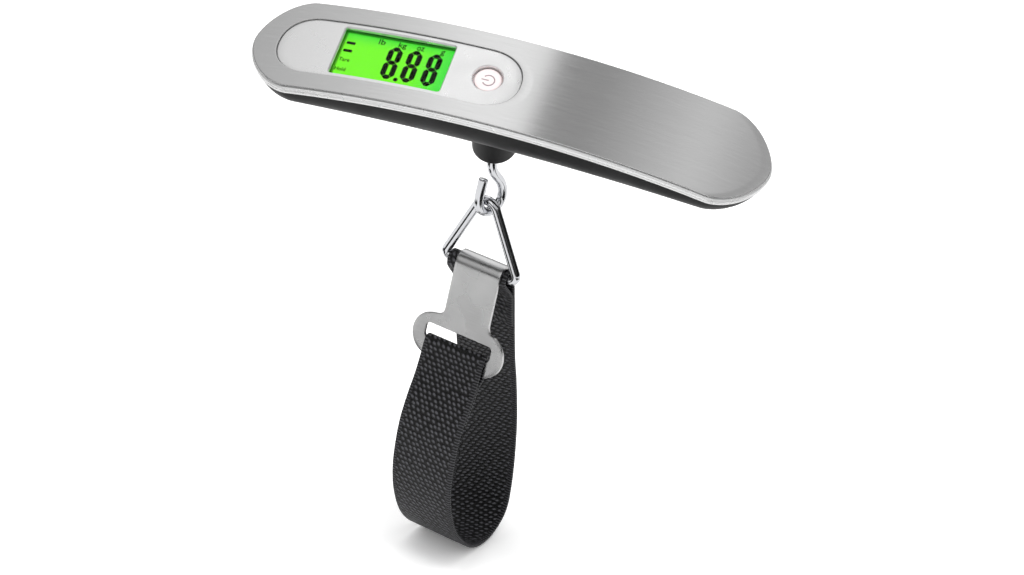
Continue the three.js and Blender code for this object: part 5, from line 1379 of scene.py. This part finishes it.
def add_camera():
    right, down, forward = camera_axes()
    data = bpy.data.cameras.new("Camera")
    data.sensor_fit = "HORIZONTAL"
    data.sensor_width = SENSOR
    data.lens = CAM_FOCAL / PICTURE_W * SENSOR
    data.clip_start, data.clip_end = 0.05, 20.0
    camera = add_object("Camera", data)
    matrix = mathutils.Matrix.Identity(4)
    for column, axis in enumerate((right, -down, -forward)):
        for row in range(3):
            matrix[row][column] = axis[row]
    matrix.translation = [c * MM for c in CAM_PLACE]
    camera.matrix_world = matrix
    bpy.context.scene.camera = camera


def add_softbox(name, place, target, width, height, power):
    """Rectangular lamp that looks at a target. Place, target and size are in metres, power in watts."""
    data = bpy.data.lights.new(name, "AREA")
    data.shape = "RECTANGLE"
    data.size, data.size_y = width, height
    data.energy = power
    lamp = add_object(name, data)
    aim = mathutils.Vector(target) - mathutils.Vector(place)
    turned_to = aim.to_track_quat("-Z", "Y").to_matrix().to_4x4()
    turned_to.translation = place
    lamp.matrix_world = turned_to
    return lamp


def add_world():
    """Studio surround: a plain level for diffuse light. Polished metal sees pale and darker bands by direction, as a
    photographer's cards give, that fade out below the horizon. The camera and clear pieces see white."""
    world = bpy.data.worlds.new("Studio")
    world.use_nodes = True
    bpy.context.scene.world = world
    tree = world.node_tree
    tree.nodes.clear()
    direction = add_node(tree, "ShaderNodeTexCoord")
    split = add_node(tree, "ShaderNodeSeparateXYZ", Vector=direction.outputs["Generated"])
    side = add_node(tree, "ShaderNodeMapRange", {"From Min": -1.0, "From Max": 1.0}, Value=split.outputs["X"])
    cards = add_node(tree, "ShaderNodeValToRGB", {"stops": CARD_BANDS}, Fac=side.outputs["Result"])
    above = add_node(tree, "ShaderNodeMapRange", {"interpolation_type": "SMOOTHSTEP", "From Min": 0.12,
                                                  "From Max": 0.42, "To Min": 0.04}, Value=split.outputs["Z"])
    bands = add_node(tree, "ShaderNodeMix", {"data_type": "RGBA", "blend_type": "MULTIPLY", 0: 1.0},
                     in_6=cards.outputs["Color"], in_7=above.outputs["Result"]).outputs[2]
    plain = add_node(tree, "ShaderNodeBackground", {"Color": (1.0, 1.0, 1.0, 1.0),
                                                    "Strength": sizes().surround_level})
    seen = add_node(tree, "ShaderNodeBackground", {"Color": (1.0, 1.0, 1.0, 1.0), "Strength": 1.0})
    mirrored = add_node(tree, "ShaderNodeBackground", {"Strength": 1.0}, Color=bands)
    path = add_node(tree, "ShaderNodeLightPath")
    glossy = add_node(tree, "ShaderNodeMixShader", in_0=path.outputs["Is Glossy Ray"],
                      in_1=plain.outputs["Background"], in_2=mirrored.outputs["Background"])
    through = add_node(tree, "ShaderNodeMath", {"operation": "MAXIMUM"}, in_0=path.outputs["Is Camera Ray"],
                       in_1=path.outputs["Is Transmission Ray"])
    final = add_node(tree, "ShaderNodeMixShader", in_0=through.outputs["Value"],
                     in_1=glossy.outputs["Shader"], in_2=seen.outputs["Background"])
    add_node(tree, "ShaderNodeOutputWorld", Surface=final.outputs["Shader"])


def studio_sweep():
    """Matt white studio sweep, laid flat: it keeps the soft shadow. The camera sees it whiter than it lights the
    object, so that it clips to the surround's white away from the shadow."""
    material = bpy.data.materials.new("Matt white studio sweep")
    material.use_nodes = True
    tree = material.node_tree
    tree.nodes.clear()
    path = add_node(tree, "ShaderNodeLightPath")
    white = add_node(tree, "ShaderNodeMath", {"operation": "MULTIPLY_ADD", 1: sizes().floor_white, 2: 0.8},
                     in_0=path.outputs["Is Camera Ray"])
    matt = add_node(tree, "ShaderNodeBsdfDiffuse", Color=white.outputs["Value"])
    shown = path.outputs["Is Camera Ray"]
    for ray in ("Is Glossy Ray", "Is Transmission Ray"):
        shown = add_node(tree, "ShaderNodeMath", {"operation": "MAXIMUM"}, in_0=shown,
                         in_1=path.outputs[ray]).outputs["Value"]
    level = add_node(tree, "ShaderNodeMath", {"operation": "MULTIPLY", 1: sizes().floor_lift}, in_0=shown)
    glow = add_node(tree, "ShaderNodeEmission", {"Color": (1.0, 1.0, 1.0, 1.0)}, Strength=level.outputs["Value"])
    total = add_node(tree, "ShaderNodeAddShader", in_0=matt.outputs["BSDF"], in_1=glow.outputs["Emission"])
    add_node(tree, "ShaderNodeOutputMaterial", Surface=total.outputs["Shader"])
    return material


def black_card():
    """Black paper card, matt: it lies on the floor beside the view and draws dark lines along the polished wire."""
    material, tree, shader = new_material("Black paper card", {"Roughness": 0.9, "Specular IOR Level": 0.1})
    mottle(tree, shader, object_coordinates(tree), 400.0, 2.0, (0.3, linear("0a0a0a")), (0.7, linear("141414")))
    return material


def add_stage_piece(name, points, material):
    """Strip of the stage from rows of two points."""
    obj = build_mesh(name, points, grid_faces(len(points), 2, False, False))
    obj.data.materials.append(material)
    obj.data.shade_smooth()
    return obj


def build_stage():
    """Camera, surround, two softboxes, a sweep (a flat floor that curves down far behind the part) and black cards
    beside the view."""
    add_camera()
    add_world()
    level = sizes().lamp_level
    key = add_softbox("Key lamp", (0.03, -0.12, 1.2), (0, 0, -0.1), 1.0, 0.3, 14.0 * level)
    key.visible_glossy = False
    add_softbox("Fill lamp", (0.9, -0.4, 0.7), (0, 0, -0.05), 0.6, 0.6, 1.0 * level)
    z = CAD_BOX[0][2] - FLOOR_GAP * MM
    t = np.linspace(0, np.pi / 2, 25)[1:]
    y = np.concatenate([[-3.0, 3.0], 3.0 + FLOOR_BEND * np.sin(t)])
    height = z - FLOOR_BEND * np.concatenate([[0, 0], 1 - np.cos(t)])
    add_stage_piece("studio_sweep", [[(-4.0, a, b), (4.0, a, b)] for a, b in zip(y, height)], studio_sweep())
    z += CARD_RISE
    for name, x0, x1, y0, y1 in BLACK_CARDS:
        card = add_stage_piece(name, [[(x0, y0, z), (x1, y0, z)], [(x0, y1, z), (x1, y1, z)]], black_card())
        card.visible_camera = card.visible_diffuse = card.visible_shadow = False


def length_property(label, metres, text):
    return bpy.props.FloatProperty(name=label, description=text, default=metres, min=0.0, subtype="DISTANCE",
                                   unit="LENGTH", precision=5)


class ScaleSizes(bpy.types.PropertyGroup):
    plate_thickness: length_property("Plate thickness", 0.0006, "Thickness of the brushed plate")
    button_radius: length_property("Button radius", 0.00405, "Radius of the power button")
    case_depth: length_property("Case depth", 0.0165, "Depth of the lower case at its middle")
    case_end_depth: length_property("Case end depth", 0.007, "Depth of the lower case near its ends")
    hub_radius: length_property("Hub radius", 0.0067, "Radius of the hub under the case")
    hook_tip: length_property("Hook tip", 0.0072, "Height of the hook's free end over the middle of its bowl")
    buckle_thickness: length_property("Buckle thickness", 0.001, "Thickness of the buckle's sheet")
    strap_width: length_property("Webbing width", 0.0216, "Width of the webbing")
    strap_neck: length_property("Webbing neck", 0.021, "Width of the webbing where it passes through the ring")
    strap_thickness: length_property("Webbing thickness", 0.0011, "Thickness of the webbing")
    surround_level: bpy.props.FloatProperty(
        name="Surround level", description="Strength of the plain diffuse light", default=0.88, min=0.0)
    lamp_level: bpy.props.FloatProperty(
        name="Lamp level", description="Multiplies the softboxes' power", default=0.5, min=0.0)
    floor_white: bpy.props.FloatProperty(
        name="Floor white", description="Extra whiteness of the floor where the camera sees it", default=0.42, min=0.0)
    floor_lift: bpy.props.FloatProperty(
        name="Floor lift", description="Plain white added to the floor where the camera sees it", default=0.05, min=0.0)


def colour_property(label, code, text):
    return bpy.props.FloatVectorProperty(name=label, description=text, subtype="COLOR", size=4, min=0.0, max=1.0,
                                         default=linear(code))


class ScaleColours(bpy.types.PropertyGroup):
    plate: colour_property("Plate", "d2d2d2", "Brushed plate")
    frame: colour_property("Frame", "efefef", "Frame round the plate")
    panel: colour_property("Panel", "e4e4e4", "Display panel")
    display: colour_property("Display", "74f60e", "Middle of the lit display")
    display_edge: colour_property("Display edge", "2fdc3c", "Right and upper edges of the lit display")
    ink: colour_property("Segments", "060a04", "Dark display segments")
    button: colour_property("Button", "f3e6e6", "Button cap")
    mark: colour_property("Button mark", "8f8288", "Mark on the button")
    case: colour_property("Case", "080809", "Lower case and battery door")
    chrome: colour_property("Chrome", "dcdde0", "Hook and ring")
    buckle: colour_property("Buckle", "d2d2d2", "Buckle")
    # The webbing colour is the float tops' colour, lighter than the black yarn as a painted sheen; the weave paints it
    # darker in the gaps as shade.
    webbing: colour_property("Webbing", "56565b", "Webbing's raised yarns")


class SCALE_OT_stage(bpy.types.Operator):
    """Adds the camera, the surround, the lamps, the sweep and the black cards"""
    bl_idname = "luggage_scale.stage"
    bl_label = "Stage"

    def execute(self, context):
        build_stage()
        return {"FINISHED"}


class SCALE_OT_grip_top(bpy.types.Operator):
    """Builds the brushed plate, its frame and the display panel"""
    bl_idname = "luggage_scale.grip_top"
    bl_label = "Plate, frame and panel"

    def execute(self, context):
        build_plate()
        build_rim()
        build_panel()
        return {"FINISHED"}


class SCALE_OT_display(bpy.types.Operator):
    """Builds the display's dark segments and dresses the nodes that stay"""
    bl_idname = "luggage_scale.display"
    bl_label = "Display and inner parts"

    def execute(self, context):
        dress_inner_nodes()
        build_marks()
        return {"FINISHED"}


class SCALE_OT_button(bpy.types.Operator):
    """Builds the power button"""
    bl_idname = "luggage_scale.button"
    bl_label = "Button"

    def execute(self, context):
        build_button()
        return {"FINISHED"}


class SCALE_OT_case(bpy.types.Operator):
    """Builds the lower case with its hub, and the battery door"""
    bl_idname = "luggage_scale.case"
    bl_label = "Case and battery door"

    def execute(self, context):
        build_case()
        build_door()
        return {"FINISHED"}


class SCALE_OT_wire(bpy.types.Operator):
    """Builds the hook and the triangle ring"""
    bl_idname = "luggage_scale.wire"
    bl_label = "Hook and ring"

    def execute(self, context):
        build_hook()
        build_ring()
        return {"FINISHED"}


class SCALE_OT_buckle(bpy.types.Operator):
    """Builds the stamped buckle"""
    bl_idname = "luggage_scale.buckle"
    bl_label = "Buckle"

    def execute(self, context):
        build_buckle()
        return {"FINISHED"}


class SCALE_OT_webbing(bpy.types.Operator):
    """Builds the webbing loop and its stitches"""
    bl_idname = "luggage_scale.webbing"
    bl_label = "Webbing"

    def execute(self, context):
        build_stitches(*build_strap())
        return {"FINISHED"}


OPERATORS = (SCALE_OT_stage, SCALE_OT_grip_top, SCALE_OT_display, SCALE_OT_button, SCALE_OT_case, SCALE_OT_wire,
             SCALE_OT_buckle, SCALE_OT_webbing)


class SCALE_PT_panel(bpy.types.Panel):
    bl_idname = "SCALE_PT_panel"
    bl_label = "Luggage Scale"
    bl_space_type = "VIEW_3D"
    bl_region_type = "UI"
    bl_category = "Luggage Scale"

    def draw(self, context):
        layout = self.layout
        for operator in OPERATORS:
            layout.operator(operator.bl_idname)
        for group in (context.scene.luggage_scale_sizes, context.scene.luggage_scale_colours):
            for key in group.__annotations__:
                layout.prop(group, key)


CLASSES = (ScaleSizes, ScaleColours, *OPERATORS, SCALE_PT_panel)


def register():
    for kind in CLASSES:
        bpy.utils.register_class(kind)
    bpy.types.Scene.luggage_scale_sizes = bpy.props.PointerProperty(type=ScaleSizes)
    bpy.types.Scene.luggage_scale_colours = bpy.props.PointerProperty(type=ScaleColours)


def unregister():
    del bpy.types.Scene.luggage_scale_colours
    del bpy.types.Scene.luggage_scale_sizes
    for kind in reversed(CLASSES):
        bpy.utils.unregister_class(kind)


def main():
    register()
    bpy.context.scene.view_settings.view_transform = "Standard"
    for operator in OPERATORS:
        group, name = operator.bl_idname.split(".")
        getattr(getattr(bpy.ops, group), name)()


if __name__ == "__main__":
    main()
